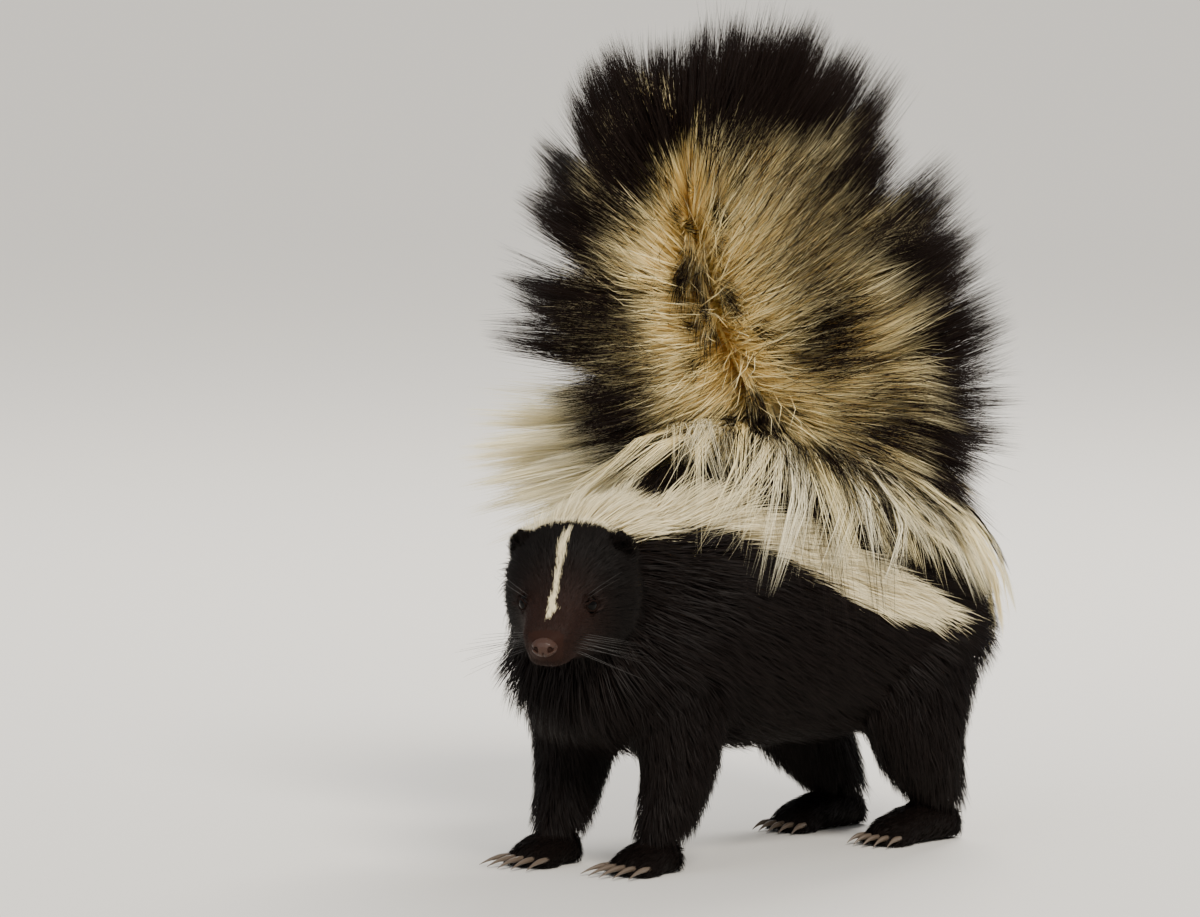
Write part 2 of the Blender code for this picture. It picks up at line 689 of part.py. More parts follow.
class TailBone:
    """Where the tail's bone runs, how thick the underfur is and which way front and left are there."""

    def __init__(self):
        self.rows = smooth_rows(TAIL_STATIONS, 60)
        self.points = np.array([place(*r[:3]) for r in self.rows])
        steps = np.linalg.norm(np.diff(self.points, axis=0), axis=1)
        self.share = np.concatenate([[0], np.cumsum(steps)]) / steps.sum()

    def at(self, share):
        """(point, axis, front, left, radius) at a share of the bone's length."""
        point = Vector([np.interp(share, self.share, self.points[:, k]) for k in range(3)])
        near = [np.interp(min(1, share + 0.02), self.share, self.points[:, k]) for k in range(3)]
        far = [np.interp(max(0, share - 0.02), self.share, self.points[:, k]) for k in range(3)]
        axis = (Vector(near) - Vector(far)).normalized()
        left = Vector((1, 0, 0))
        left = (left - axis * left.dot(axis)).normalized()
        front = left.cross(axis) * -1
        if front.dot(Vector((0, -1, -1))) < 0:
            front = -front
        radius = np.interp(share, self.share, self.rows[:, 3]) * CM
        return point, axis, front, left, radius


def make_tail_core(bone, low, high, name, group):
    """The dense underfur round one length of the bone."""
    count = max(4, round(TAIL_RINGS * (high - low)))
    sections = []
    for k in range(count):
        share = low + (high - low) * k / (count - 1)
        point, axis, front, left, radius = bone.at(share)
        if low > 0 and k == 0:
            point = point + axis * GAP
        sections.append(Section(point, left, front, radius, radius, radius))
    return loft(name, sections, TAIL_RING_POINTS, group)


def make_lock(start, first, last, length, width, wide_axis, group):
    """One flat, tapered lock of hair that leaves along first and bends to last, above the back."""
    centres = []
    for share, _ in LOCK_PROFILE:
        point = start + (first * share + (last - first) * (0.5 * share**2)) * length
        centres.append(clear_of_trunk(point, BODY_CLEARANCE) if share > 0.25 else point)
    sections = []
    for k, (_, size) in enumerate(LOCK_PROFILE):
        along = (centres[min(k + 1, len(centres) - 1)] - centres[max(k - 1, 0)]).normalized()
        wide = (wide_axis - along * wide_axis.dot(along)).normalized()
        half_width = width * size / 2
        half_thick = max(half_width * LOCK_FLATNESS, LOCK_LEAST * size)
        sections.append(Section(centres[k], wide, wide.cross(along), half_width, half_thick, half_thick))
    return loft("lock", sections, 4, group)


def plume_lock(bone, share, round_turn, reach, rise, group, chance):
    """A lock of the plume, rooted in the underfur."""
    point, axis, front, left, radius = bone.at(share)
    radial = front * math.cos(round_turn) + left * math.sin(round_turn)
    tangent = left * math.cos(round_turn) - front * math.sin(round_turn)
    ahead = (1 + math.cos(round_turn)) / 2
    leans = [math.radians(start + gain * share) for start, gain in (LEAN_AHEAD, LEAN_BEHIND)]
    lean = leans[0] * ahead + leans[1] * (1 - ahead) + rise + chance.uniform(-LEAN_VARIES, LEAN_VARIES)
    first, last = (
        radial * math.cos(lean * bend) + axis * math.sin(lean * bend) for bend in LEAN_BEND
    )
    wide = Matrix.Rotation(chance.uniform(-LOCK_TWIST, LOCK_TWIST), 3, first) @ tangent
    depth = radius * LOCK_ROOT_DEPTH
    return make_lock(point + radial * depth, first, last, reach - depth, LOCK_WIDTH, wide, group)


def turn_of(k, tier, count, chance):
    """The angle round the bone of a tier's lock k; every other tier stands half a step further round."""
    return 2 * math.pi * (k + 0.5 * (tier % 2)) / count + chance.uniform(-TURN_VARIES, TURN_VARIES)


def plume_locks(bone, low, high, group, chance):
    """The tiers of locks on one length of the tail."""
    locks = []
    for tier in range(PLUME_TIERS):
        share = PLUME_FROM + (PLUME_TO - PLUME_FROM) * tier / (PLUME_TIERS - 1)
        if not low < share < high:
            continue
        for k in range(PLUME_LOCKS):
            round_turn = turn_of(k, tier, PLUME_LOCKS, chance)
            reach = LOCK_REACH - LOCK_REACH_REAR * math.cos(round_turn + math.pi / 4)
            near_top = max(0.0, share - TOP_FROM) / (1.0 - TOP_FROM)
            reach *= chance.uniform(*PLUME_LENGTHS) * (1.0 - TOP_SHORTENING * near_top)
            fan = max(0.0, math.cos(round_turn - FAN_TURN)) ** 3 if tier == 0 else 0.0
            reach += FAN_REACH * fan
            locks.append(plume_lock(bone, share, round_turn, reach, FAN_LIFT * fan, group, chance))
    return locks


def tip_locks(bone, group, chance):
    """The brush at the end of the bone."""
    point, axis, front, left, radius = bone.at(TIP_FROM)
    locks = []
    for k in range(TIP_LOCKS):
        turn = 2 * math.pi * k / (TIP_LOCKS - 1)
        radial = front * math.cos(turn) + left * math.sin(turn)
        spread = 0.0 if k == TIP_LOCKS - 1 else TIP_SPREAD
        first = (axis + radial * spread).normalized()
        last = (axis + radial * (spread * TIP_FLARE) - front * TIP_BACKSWEEP).normalized()
        wide = left * math.cos(turn) - front * math.sin(turn)
        start = point + radial * (radius * LOCK_ROOT_DEPTH * spread)
        reach = TIP_REACH * chance.uniform(*TIP_LENGTHS)
        locks.append(make_lock(start, first, last, reach, TIP_WIDTH, wide, group))
    return locks


def base_locks(bone, group, chance):
    """The hair at the tail's root: streamers over the back, down both flanks and behind the rump."""
    ahead, left, up = Vector((0, -1, 0)), Vector((1, 0, 0)), Vector((0, 0, 1))
    locks = []
    for tier, (share, reach, droop_ahead, droop_beside, droop_behind) in enumerate(BASE_TIERS):
        point, _, _, _, radius = bone.at(share)
        for k in range(BASE_LOCKS):
            turn = turn_of(k, tier, BASE_LOCKS, chance)
            outward = ahead * math.cos(turn) + left * math.sin(turn)
            end_droop = droop_ahead if math.cos(turn) > 0 else droop_behind
            droop = droop_beside + (end_droop - droop_beside) * math.cos(turn) ** 2
            droop = math.radians(droop) + chance.uniform(-DROOP_VARIES, DROOP_VARIES)
            first, last = (
                outward * math.cos(droop * bend) - up * math.sin(droop * bend) for bend in DROOP_BEND
            )
            shortened = 1 - REAR_SHORTENING * max(0.0, -math.cos(turn))
            length = reach * CM * shortened * chance.uniform(*BASE_LENGTHS)
            start = point + outward * (radius * LOCK_ROOT_DEPTH)
            locks.append(make_lock(start, first, last, length, LOCK_WIDTH, outward.cross(up), group))
    return locks


def make_tail(bone, neighbours, spare, group, coat):
    """The tail's three lengths, each with its locks fused to its core and clear of its neighbours."""
    chance = random.Random(SEED)
    made = []
    for index in (1, 2, 0):
        name = TAIL_NAMES[index]
        low, high = TAIL_CUTS[index], TAIL_CUTS[index + 1]
        core = make_tail_core(bone, low, high, name, spare)
        locks = plume_locks(bone, low, high, spare, chance)
        if index == 0:
            locks += base_locks(bone, spare, chance)
        if index == len(TAIL_NAMES) - 1:
            locks += tip_locks(bone, spare, chance)
        boolean(core, locks, "UNION")
        for other in neighbours + made:
            boolean(core, [grown(other, GAP, spare), duplicate(other, "cutter", spare)], "DIFFERENCE")
        made.append(finish(core, name, group, coat))
    return made


def stand_on_centre(parts):
    """Moves every part sideways so that the origin lies under the middle of the whole."""
    corners = np.array([tuple(v.co) for part in parts for v in part.data.vertices])
    middle = (corners.min(0) + corners.max(0)) / 2
    for part in parts:
        for vert in part.data.vertices:
            vert.co.x -= middle[0]
            vert.co.y -= middle[1]


def main():
    clear_scene()
    body = collection_named("striped_skunk")
    spare = collection_named("working_shapes")
    black = material("coat_black", COAT_BLACK, 0.6)
    brown = material("coat_face", COAT_BROWN, 0.6)
    plume = material("coat_tail", COAT_CREAM, 0.7)
    pad = material("nose_pad", NOSE_PINK, 0.4)
    dark = material("eye_dark", EYE_DARK, 0.1)
    frame = HeadFrame()
    bone = TailBone()

    head = make_head(frame, spare)
    trunk = boolean(make_trunk(spare), [grown(head, GAP, spare)], "DIFFERENCE")
    nose = make_nose(frame, spare)
    parts = []

    for side, word in ((1, "left"), (-1, "right")):
        eye = ball("eye", eye_centre(frame, side), EYE_RADIUS, EYE_RINGS, spare)
        parts.append(finish(eye, "eye_" + word, body, dark))
        add_lids(head, frame, side, spare)
    lips = [
        tube("lip", mouth_path(frame, shift), LIP_RADIUS, False, spare)
        for shift in (-LIP_RADIUS * 0.8, LIP_RADIUS * 0.8)
    ]
    boolean(head, lips, "UNION")
    groove = [point + frame.forward * (0.02 * CM) for point in mouth_path(frame, 0.0)]
    boolean(head, [tube("groove", groove, MOUTH_GROOVE, False, spare)], "DIFFERENCE")
    boolean(head, [grown(nose, GAP, spare)], "DIFFERENCE")

    for side, word in ((1, "left"), (-1, "right")):
        ear = make_ear(frame, side, spare)
        boolean(ear, [grown(head, GAP, spare)], "DIFFERENCE")
        parts.append(finish(ear, "ear_" + word, body, black))

    neck_sections = sections_along(smooth_rows(NECK_STATIONS, NECK_RINGS), Vector((1, 0, 0)))
    neck = loft("neck", neck_sections, NECK_RING_POINTS, spare)
    boolean(neck, [grown(trunk, GAP, spare)], "DIFFERENCE")
    boolean(neck, [grown(head, GAP, spare)], "DIFFERENCE")

    legs = []
    for stations, paw, cut, shift, words in (
        (FORELEG_STATIONS, FOREPAW, WRIST_HEIGHT, RIGHT_FORE_SHIFT, ("foreleg", "forepaw")),
        (HINDLEG_STATIONS, HINDPAW, HOCK_HEIGHT, RIGHT_HIND_SHIFT, ("hindleg", "hindpaw")),
    ):
        for side, word in ((1, "left"), (-1, "right")):
            moved = shift if side < 0 else 0.0
            leg = make_leg(stations, side, moved, spare)
            slice_off(leg, Vector((0, 0, cut)), Vector((0, 0, -1)))
            boolean(leg, [grown(trunk, GAP, spare)], "DIFFERENCE")
            foot = make_paw(paw, side * stations[-1][0] * CM, moved, spare)
            boolean(leg, [grown(foot, GAP, spare)], "DIFFERENCE")
            legs.append(finish(leg, f"{words[0]}_{word}", body, black))
            parts.append(finish(foot, f"{words[1]}_{word}", body, black))

    parts += legs
    parts += make_tail(bone, [trunk, neck] + legs, spare, body, plume)
    hips = duplicate(trunk, "hips", spare)
    slice_off(trunk, Vector((0, -HIPS_AHEAD, 0)), Vector((0, 1, 0)))
    slice_off(hips, Vector((0, -HIPS_AHEAD + GAP, 0)), Vector((0, -1, 0)))
    parts.append(finish(trunk, "chest", body, black))
    parts.append(finish(hips, "hips", body, black))
    parts.append(finish(neck, "neck", body, black))
    parts.append(finish(head, "head", body, brown))
    parts.append(finish(nose, "nose", body, pad))
    bpy.data.collections.remove(spare)
    stand_on_centre(parts)


main()
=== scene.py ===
"""Striped skunk with its tail raised: skin, coat, eyes, nose, claws and the studio it stands in."""

import json
import math

import bmesh
import bpy
import numpy as np
from mathutils import Matrix, Vector
from mathutils.bvhtree import BVHTree
from mathutils.kdtree import KDTree

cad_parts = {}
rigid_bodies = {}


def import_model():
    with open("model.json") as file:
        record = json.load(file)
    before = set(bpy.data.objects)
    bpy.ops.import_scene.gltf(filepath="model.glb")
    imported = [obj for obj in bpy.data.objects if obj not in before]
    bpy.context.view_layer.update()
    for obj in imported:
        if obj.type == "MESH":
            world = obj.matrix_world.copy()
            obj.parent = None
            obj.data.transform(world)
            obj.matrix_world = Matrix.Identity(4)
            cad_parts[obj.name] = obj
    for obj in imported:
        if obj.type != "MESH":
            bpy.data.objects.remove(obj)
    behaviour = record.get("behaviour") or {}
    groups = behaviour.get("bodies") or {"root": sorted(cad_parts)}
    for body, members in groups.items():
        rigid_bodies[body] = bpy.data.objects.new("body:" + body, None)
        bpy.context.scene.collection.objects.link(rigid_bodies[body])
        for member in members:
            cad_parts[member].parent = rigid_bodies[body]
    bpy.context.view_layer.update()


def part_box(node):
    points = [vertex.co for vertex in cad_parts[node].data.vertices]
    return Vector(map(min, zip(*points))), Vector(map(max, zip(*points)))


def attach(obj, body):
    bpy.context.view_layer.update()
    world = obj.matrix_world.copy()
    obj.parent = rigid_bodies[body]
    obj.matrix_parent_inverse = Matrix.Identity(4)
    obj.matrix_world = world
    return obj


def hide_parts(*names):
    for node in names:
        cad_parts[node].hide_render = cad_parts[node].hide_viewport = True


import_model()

bl_info = {
    "name": "Striped Skunk Coat",
    "version": (1, 0, 0),
    "blender": (4, 5, 0),
    "location": "View3D > Sidebar > Skunk",
    "description": "Dresses the skunk's solids in skin, fur, eyes, nose and claws",
    "category": "Object",
}

CM = 0.01

# Where the head points, and where its eyes and the body's own origin lie from it, in centimetres
HEAD_TURN, HEAD_NOD = math.radians(32.5), math.radians(15.0)
EYE_FORWARD, EYE_HEIGHT, EYE_RADIUS = 4.78, 0.62, 0.40
EYE_GAZE = (0.66, 0.74, 0.10)
HEAD_START = (1.03, 10.60, 13.06)

# The trunk from rump to breast: ahead, top, underside and half width, in centimetres
TRUNK = np.array(
    (
        (-13.3, 11.2, 8.6, 1.5),
        (-12.6, 12.4, 7.2, 3.2),
        (-11.0, 13.9, 5.9, 4.7),
        (-8.0, 15.5, 5.2, 5.6),
        (-3.0, 16.9, 4.9, 5.7),
        (2.0, 17.3, 5.0, 5.2),
        (6.0, 16.5, 5.3, 4.8),
        (8.8, 14.6, 5.9, 4.3),
        (11.0, 12.2, 7.0, 3.2),
        (11.9, 10.9, 8.3, 1.7),
    )
)
# The tail's bone: left, ahead, up and the radius of its skin, in centimetres
TAIL = np.array(
    (
        (0.0, -9.6, 12.0, 1.7),
        (-0.3, -9.4, 14.9, 1.5),
        (-1.2, -5.3, 17.9, 1.3),
        (-1.5, -2.2, 21.3, 1.15),
        (-1.5, 0.3, 25.3, 1.0),
        (-1.4, 1.4, 28.6, 0.8),
        (-1.3, 1.5, 30.4, 0.45),
    )
)
# The flank stripe from the nape to the hip: left, ahead, up and half width, in centimetres
STRIPE = np.array(
    (
        (0.0, 11.6, 16.2, 2.0),
        (0.6, 9.0, 15.9, 2.3),
        (2.2, 6.4, 16.2, 1.7),
        (3.5, 3.6, 15.4, 1.25),
        (4.5, 0.5, 13.9, 1.2),
        (5.2, -2.4, 12.4, 1.2),
        (5.5, -5.2, 11.4, 1.0),
        (5.3, -8.2, 10.7, 0.45),
    )
)
# The blaze down the face in centimetres: how far forward, its middle beside the midline, half its width
BLAZE = (
    (2.2, 2.7, 3.2, 3.9, 4.5, 5.1, 5.6, 6.1, 6.5, 6.85),
    (0.05, 0.02, -0.04, 0.0, -0.02, 0.0, -0.09, 0.03, -0.02, -0.08),
    (0.05, 0.12, 0.18, 0.12, 0.10, 0.10, 0.12, 0.16, 0.09, 0.01),
)
# The size of the voxels that join the flesh and the nose, in metres, and the ears' size on the skin
SKIN_VOXEL, NOSE_VOXEL = 0.0013, 0.00025
EAR_SCALE = 0.76
# Hair is white all along with this pale share, and dark all along with the other
WHITE_HAIR, DARK_HAIR = 1.6, -0.6
FLESH = ("head", "neck", "chest", "hips", "ear_left", "ear_right")
LEGS = ("foreleg_left", "foreleg_right", "hindleg_left", "hindleg_right")
PAWS = ("forepaw_left", "forepaw_right", "hindpaw_left", "hindpaw_right")
TAIL_NODES = ("tail_base", "tail_middle", "tail_tip")
REPLACED = FLESH + LEGS + PAWS + TAIL_NODES
CLAW_LENGTH = {"forepaw": 1.35 * CM, "hindpaw": 0.8 * CM}

# The camera's place round the body, its lens, and the point it looks at: left, ahead, up in centimetres
CAMERA_AZIMUTH, CAMERA_ELEVATION = math.radians(45), math.radians(5)
CAMERA_DISTANCE, CAMERA_LENS = 4.444, 300.0
CAMERA_AIM = (-4.24, 4.24, 17.6)
FLOOR_HALF = 30.0


def unit(vectors):
    """The vectors at length one."""
    return vectors / np.maximum(np.linalg.norm(vectors, axis=-1, keepdims=True), 1e-12)


def smoothstep(low, high, values):
    """A soft step from 0 at low to 1 at high."""
    share = np.clip((values - low) / (high - low), 0.0, 1.0)
    return share * share * (3 - 2 * share)


def mix(first, second, share):
    """Values part way from first to second."""
    return first + (second - first) * share


def middle(node):
    """The middle of a node's box."""
    low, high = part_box(node)
    return (np.array(low) + np.array(high)) / 2


class Head:
    """The head's own axes and start, found from the two eyeballs."""

    forward = np.array(
        (
            math.sin(HEAD_TURN) * math.cos(HEAD_NOD),
            -math.cos(HEAD_TURN) * math.cos(HEAD_NOD),
            -math.sin(HEAD_NOD),
        )
    )
    side = np.array((math.cos(HEAD_TURN), math.sin(HEAD_TURN), 0.0))
    up = np.cross(forward, side)
    start = (middle("eye_left") + middle("eye_right")) / 2 - (forward * EYE_FORWARD + up * EYE_HEIGHT) * CM

    @classmethod
    def point(cls, forward, side, height):
        """A point from centimetres along, across and above the head."""
        return cls.start + (cls.forward * forward + cls.side * side + cls.up * height) * CM

    @classmethod
    def local(cls, points):
        """Centimetres along, across and above the head."""
        offset = (points - cls.start) / CM
        return offset @ cls.forward, offset @ cls.side, offset @ cls.up


BODY_SHIFT = Head.start - np.array((HEAD_START[0], -HEAD_START[1], HEAD_START[2])) * CM


def body_point(left, ahead, up):
    """A point from centimetres to the animal's left, ahead and up."""
    return np.array((left, -ahead, up)) * CM + BODY_SHIFT


def body_local(points):
    """Centimetres to the animal's left, ahead and up."""
    offset = (points - BODY_SHIFT) / CM
    return offset[..., 0], -offset[..., 1], offset[..., 2]


def smooth_rows(rows, count):
    """Rows of numbers read at count even steps of a smooth curve through them."""
    padded = np.vstack([2 * rows[0] - rows[1], rows, 2 * rows[-1] - rows[-2]])
    steps = np.linspace(0, len(rows) - 1, count)
    first = np.minimum(steps.astype(int), len(rows) - 2)
    t = (steps - first)[:, None]
    a, b, c, d = (padded[first + k] for k in range(4))
    return 0.5 * (2 * b + (c - a) * t + (2 * a - 5 * b + 4 * c - d) * t**2 + (3 * b - a - 3 * c + d) * t**3)


class Bone:
    """The tail's bone, with its front and left directions along it."""

    rows = smooth_rows(TAIL, 80)
    points = np.stack([rows[:, 0], -rows[:, 1], rows[:, 2]], axis=1) * CM + BODY_SHIFT
    steps = np.linalg.norm(np.diff(points, axis=0), axis=1)
    share = np.concatenate([[0.0], np.cumsum(steps)]) / steps.sum()
    axis = unit(np.gradient(points, axis=0))
    left = unit(np.array((1.0, 0.0, 0.0)) - axis * axis[:, :1])
    front = np.cross(left, axis)

    @classmethod
    def at(cls, share):
        """Points, axes, fronts, lefts and radii at shares of the bone's length."""
        read = [
            np.stack([np.interp(share, cls.share, field[:, k]) for k in range(3)], axis=-1)
            for field in (cls.points, cls.axis, cls.front, cls.left)
        ]
        return *read, np.interp(share, cls.share, cls.rows[:, 3]) * CM


def whiteness(points):
    """How white the coat is, from 0 to 1, at points on the head and body."""
    left, ahead, up = body_local(points)
    forward, side, height = Head.local(points)
    rows = smooth_rows(STRIPE, 60)
    offset = np.stack([np.abs(left), ahead, up], axis=-1)[:, None, :] - rows[None, :, :3]
    distance = np.linalg.norm(offset, axis=-1)
    nearest = distance.argmin(axis=1)
    near = distance[np.arange(len(points)), nearest]
    stripe = 1 - smoothstep(0.82, 1.12, near / rows[nearest, 3])
    stripe *= smoothstep(0.2, 0.9, 2.35 - forward)
    nape = smoothstep(7.2, 8.6, ahead) * (1 - smoothstep(1.0, 1.7, forward)) * smoothstep(14.3, 15.0, up)
    middle_line, half_width = (np.interp(forward, BLAZE[0], row) for row in BLAZE[1:])
    blaze = 1 - smoothstep(0.25, 1.9, np.abs(side - middle_line) / np.maximum(half_width, 1e-3))
    blaze *= (height > 0) * (forward > BLAZE[0][0]) * (forward < BLAZE[0][-1])
    return np.clip(np.maximum(np.maximum(stripe, nape), blaze), 0.0, 1.0)


def clear_of_trunk(points, clearance):
    """Points moved straight out of the trunk's section until they clear its surface."""
    left, ahead, up = body_local(points)
    inside = (ahead > TRUNK[0, 0]) & (ahead < TRUNK[-1, 0])
    top, under, half_width = (np.interp(ahead, TRUNK[:, 0], TRUNK[:, k]) for k in (1, 2, 3))
    centre, tall = (top + under) / 2, (top - under) / 2
    across = left / (half_width + clearance)
    above = (up - centre) / (tall + clearance)
    reach = np.maximum(np.hypot(across, above), 1e-6)
    push = np.where(inside & (reach < 1), 1 / reach, 1.0)
    height = centre + above * push * (tall + clearance)
    moved = np.stack([across * push * (half_width + clearance), -ahead, height], axis=-1)
    return np.where((push > 1)[..., None], moved * CM + BODY_SHIFT, points)


def new_object(name, mesh):
    """A mesh object in the scene that rides on the body."""
    made = bpy.data.objects.new(name, mesh)
    bpy.context.scene.collection.objects.link(made)
    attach(made, "root")
    return made


def mesh_from_arrays(name, verts, faces):
    """A smooth mesh from arrays of points and of triangles or quads."""
    sides = faces.shape[1]
    mesh = bpy.data.meshes.new(name)
    mesh.vertices.add(len(verts))
    mesh.vertices.foreach_set("co", np.ascontiguousarray(verts, dtype=np.float32).ravel())
    mesh.loops.add(faces.size)
    mesh.loops.foreach_set("vertex_index", np.ascontiguousarray(faces, dtype=np.int32).ravel())
    mesh.polygons.add(len(faces))
    mesh.polygons.foreach_set("loop_start", np.arange(0, faces.size, sides, dtype=np.int32))
    mesh.update(calc_edges=True)
    mesh.shade_smooth()
    return mesh


def paint(mesh, name, colours):
    """Keeps four numbers for each point of a mesh as a colour attribute."""
    layer = mesh.color_attributes.new(name, "FLOAT_COLOR", "POINT")
    layer.data.foreach_set("color", np.ascontiguousarray(colours, dtype=np.float32).ravel())


def points_of(mesh):
    """A mesh's points as an array."""
    verts = np.empty(len(mesh.vertices) * 3, np.float32)
    mesh.vertices.foreach_get("co", verts)
    return verts.reshape(-1, 3).astype(float)


def triangles_of(mesh):
    """A mesh's points and triangles as arrays."""
    mesh.calc_loop_triangles()
    faces = np.empty(len(mesh.loop_triangles) * 3, np.int32)
    mesh.loop_triangles.foreach_get("vertices", faces)
    return points_of(mesh), faces.reshape(-1, 3)


def evaluated_mesh(made):
    """A new mesh from an object with its modifiers applied."""
    bpy.context.view_layer.update()
    return bpy.data.meshes.new_from_object(made.evaluated_get(bpy.context.evaluated_depsgraph_get()))


def tube_mesh(name, path, radii, sides=8):
    """A closed round tube along a path, as a mesh."""
    path = np.asarray(path, float)
    radii = np.broadcast_to(radii, (len(path),))
    along = unit(np.gradient(path, axis=0))
    across = unit(np.cross(along, (0.31, 0.17, 0.93)))
    other = np.cross(along, across)
    turn = np.linspace(0, 2 * math.pi, sides, endpoint=False)
    rings = path[:, None] + radii[:, None, None] * (
        across[:, None] * np.cos(turn)[None, :, None] + other[:, None] * np.sin(turn)[None, :, None]
    )
    verts = [tuple(v) for v in rings.reshape(-1, 3)]
    faces = []
    for ring in range(len(path) - 1):
        for k in range(sides):
            a, b = ring * sides + k, ring * sides + (k + 1) % sides
            faces.append((a, b, b + sides, a + sides))
    faces.append(tuple(reversed(range(sides))))
    faces.append(tuple(range(len(verts) - sides, len(verts))))
    mesh = bpy.data.meshes.new(name)
    mesh.from_pydata(verts, [], faces)
    mesh.shade_smooth()
    return mesh


def merge_meshes(name, meshes):
    """One mesh that holds several."""
    work = bmesh.new()
    for mesh in meshes:
        work.from_mesh(mesh)
    merged = bpy.data.meshes.new(name)
    work.to_mesh(merged)
    work.free()
    return merged


def paw_without_claws(node):
    """A copy of a paw's mesh with the claws cut off in front of the toes."""
    work = bmesh.new()
    work.from_mesh(bpy.data.objects[node].data)
    toe_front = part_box(node)[0][1] + CLAW_LENGTH[node.split("_")[0]] * 0.92
    geometry = work.verts[:] + work.edges[:] + work.faces[:]
    cut = bmesh.ops.bisect_plane(
        work, geom=geometry, plane_co=(0, toe_front, 0), plane_no=(0, -1, 0), clear_outer=True
    )
    rim = [e for e in cut["geom_cut"] if isinstance(e, bmesh.types.BMEdge)]
    bmesh.ops.holes_fill(work, edges=rim)
    mesh = bpy.data.meshes.new(node + "_flesh")
    work.to_mesh(mesh)
    work.free()
    return mesh


def largest_shell(verts, faces):
    """The faces and points of the connected surface with the most points."""
    owner = np.arange(len(verts))
    for _ in range(200):
        lowest = owner[faces].min(axis=1)
        before = owner.copy()
        for k in range(faces.shape[1]):
            np.minimum.at(owner, faces[:, k], lowest)
        owner = owner[owner]
        if np.array_equal(before, owner):
            break
    keep = owner == np.bincount(owner).argmax()
    index = np.cumsum(keep) - 1
    return verts[keep], index[faces[keep[faces].all(axis=1)]]


class Surface:
    """The skin's points with their neighbours, normals and coat fields."""

    def __init__(self, verts, faces):
        self.verts, self.faces = verts, faces
        sides = faces.shape[1]
        pairs = np.concatenate([faces[:, (k, (k + 1) % sides)] for k in range(sides)])
        self.pairs = np.concatenate([pairs, pairs[:, ::-1]])
        self.degree = np.maximum(np.bincount(self.pairs[:, 0], minlength=len(verts)), 1)

    def averaged(self, field):
        """A field's mean over each point's neighbours."""
        flat = field.reshape(len(self.verts), -1)
        total = [
            np.bincount(self.pairs[:, 0], weights=flat[self.pairs[:, 1], k], minlength=len(self.verts))
            for k in range(flat.shape[1])
        ]
        return (np.stack(total, axis=1) / self.degree[:, None]).reshape(field.shape)

    def smoothed(self, field, rounds, share=0.5):
        """A field blended with its neighbours over and over; share may differ from point to point."""
        share = np.asarray(share)
        weight = share[:, None] if share.ndim and field.ndim > 1 else share
        for _ in range(rounds):
            field = field + (self.averaged(field) - field) * weight
        return field

    def normals(self):
        """Unit normals at the points."""
        corner = self.verts[self.faces]
        across = np.cross(corner[:, 2] - corner[:, 0], corner[:, -1] - corner[:, 1])
        if self.faces.shape[1] == 3:
            across = np.cross(corner[:, 1] - corner[:, 0], corner[:, 2] - corner[:, 0])
        total = [
            sum(
                np.bincount(self.faces[:, k], weights=across[:, axis], minlength=len(self.verts))
                for k in range(self.faces.shape[1])
            )
            for axis in range(3)
        ]
        return unit(np.stack(total, axis=1))


# The coat on each part, in centimetres and degrees: depth over the skin, hair length, hair width and lift
COAT = {
    "neck": (0.65, 2.7, 0.046, 24),
    "chest": (0.70, 2.9, 0.050, 20),
    "hips": (0.75, 3.1, 0.050, 21),
    "foreleg": (0.38, 1.5, 0.044, 18),
    "hindleg": (0.50, 2.0, 0.048, 18),
    "forepaw": (0.10, 0.55, 0.036, 14),
    "hindpaw": (0.10, 0.55, 0.036, 14),
    "ear": (0.10, 0.6, 0.030, 34),
    "tail": (0.0, 2.0, 0.05, 40),
}
# The same on the head, by how far forward: occiput, crown, brow, eyes, muzzle, nose
HEAD_FORWARD = (-0.7, 1.5, 3.2, 4.6, 5.6, 7.6)
HEAD_COAT = (
    (0.55, 0.45, 0.26, 0.13, 0.10, 0.05),
    (2.0, 1.5, 0.9, 0.5, 0.40, 0.27),
    (0.044, 0.036, 0.030, 0.026, 0.023, 0.021),
    (30, 34, 24, 18, 18, 18),
)


def coat_fields(verts, labels, normals):
    """Depth, length, width, lift and lie of the coat at points of the flesh."""
    numbers = np.zeros((len(verts), 4))
    flow = np.zeros((len(verts), 3))
    _, ahead, up = body_local(verts)
    forward, side, height = Head.local(verts)
    for label in np.unique(labels):
        here = labels == label
        part = label.split("_")[0]
        if part == "head":
            for k, row in enumerate(HEAD_COAT):
                numbers[here, k] = np.interp(forward[here], HEAD_FORWARD, row)
            spread = Head.side * (np.sign(side[here]) * smoothstep(0.3, 2.6, np.abs(side[here])))[:, None]
            droop = Head.up * (-0.55 * smoothstep(1.0, -1.2, height[here]))[:, None]
            flow[here] = -Head.forward + spread * 0.45 + droop
        else:
            numbers[here] = COAT[part]
            if part in ("neck", "chest", "hips"):
                flow[here] = (0.0, 1.0, 0.0)
                flow[here, 2] -= 0.55 * smoothstep(0.2, 0.9, np.abs(normals[here, 0]))
                flow[here, 2] -= 1.6 * smoothstep(-9.5, -12.5, ahead[here])
                flow[here, 2] -= 1.2 * smoothstep(9.0, 11.5, ahead[here]) * (up[here] < 12.5)
            elif part in ("foreleg", "hindleg"):
                flow[here] = (0.0, 0.25, -1.0)
            elif part in ("forepaw", "hindpaw"):
                flow[here] = (0.0, -1.0, -0.5)
            elif part == "ear":
                flow[here] = Head.up * 0.9 - Head.forward * 0.5
            else:
                flow[here] = (0.0, 0.2, 1.0)
    return numbers, flow


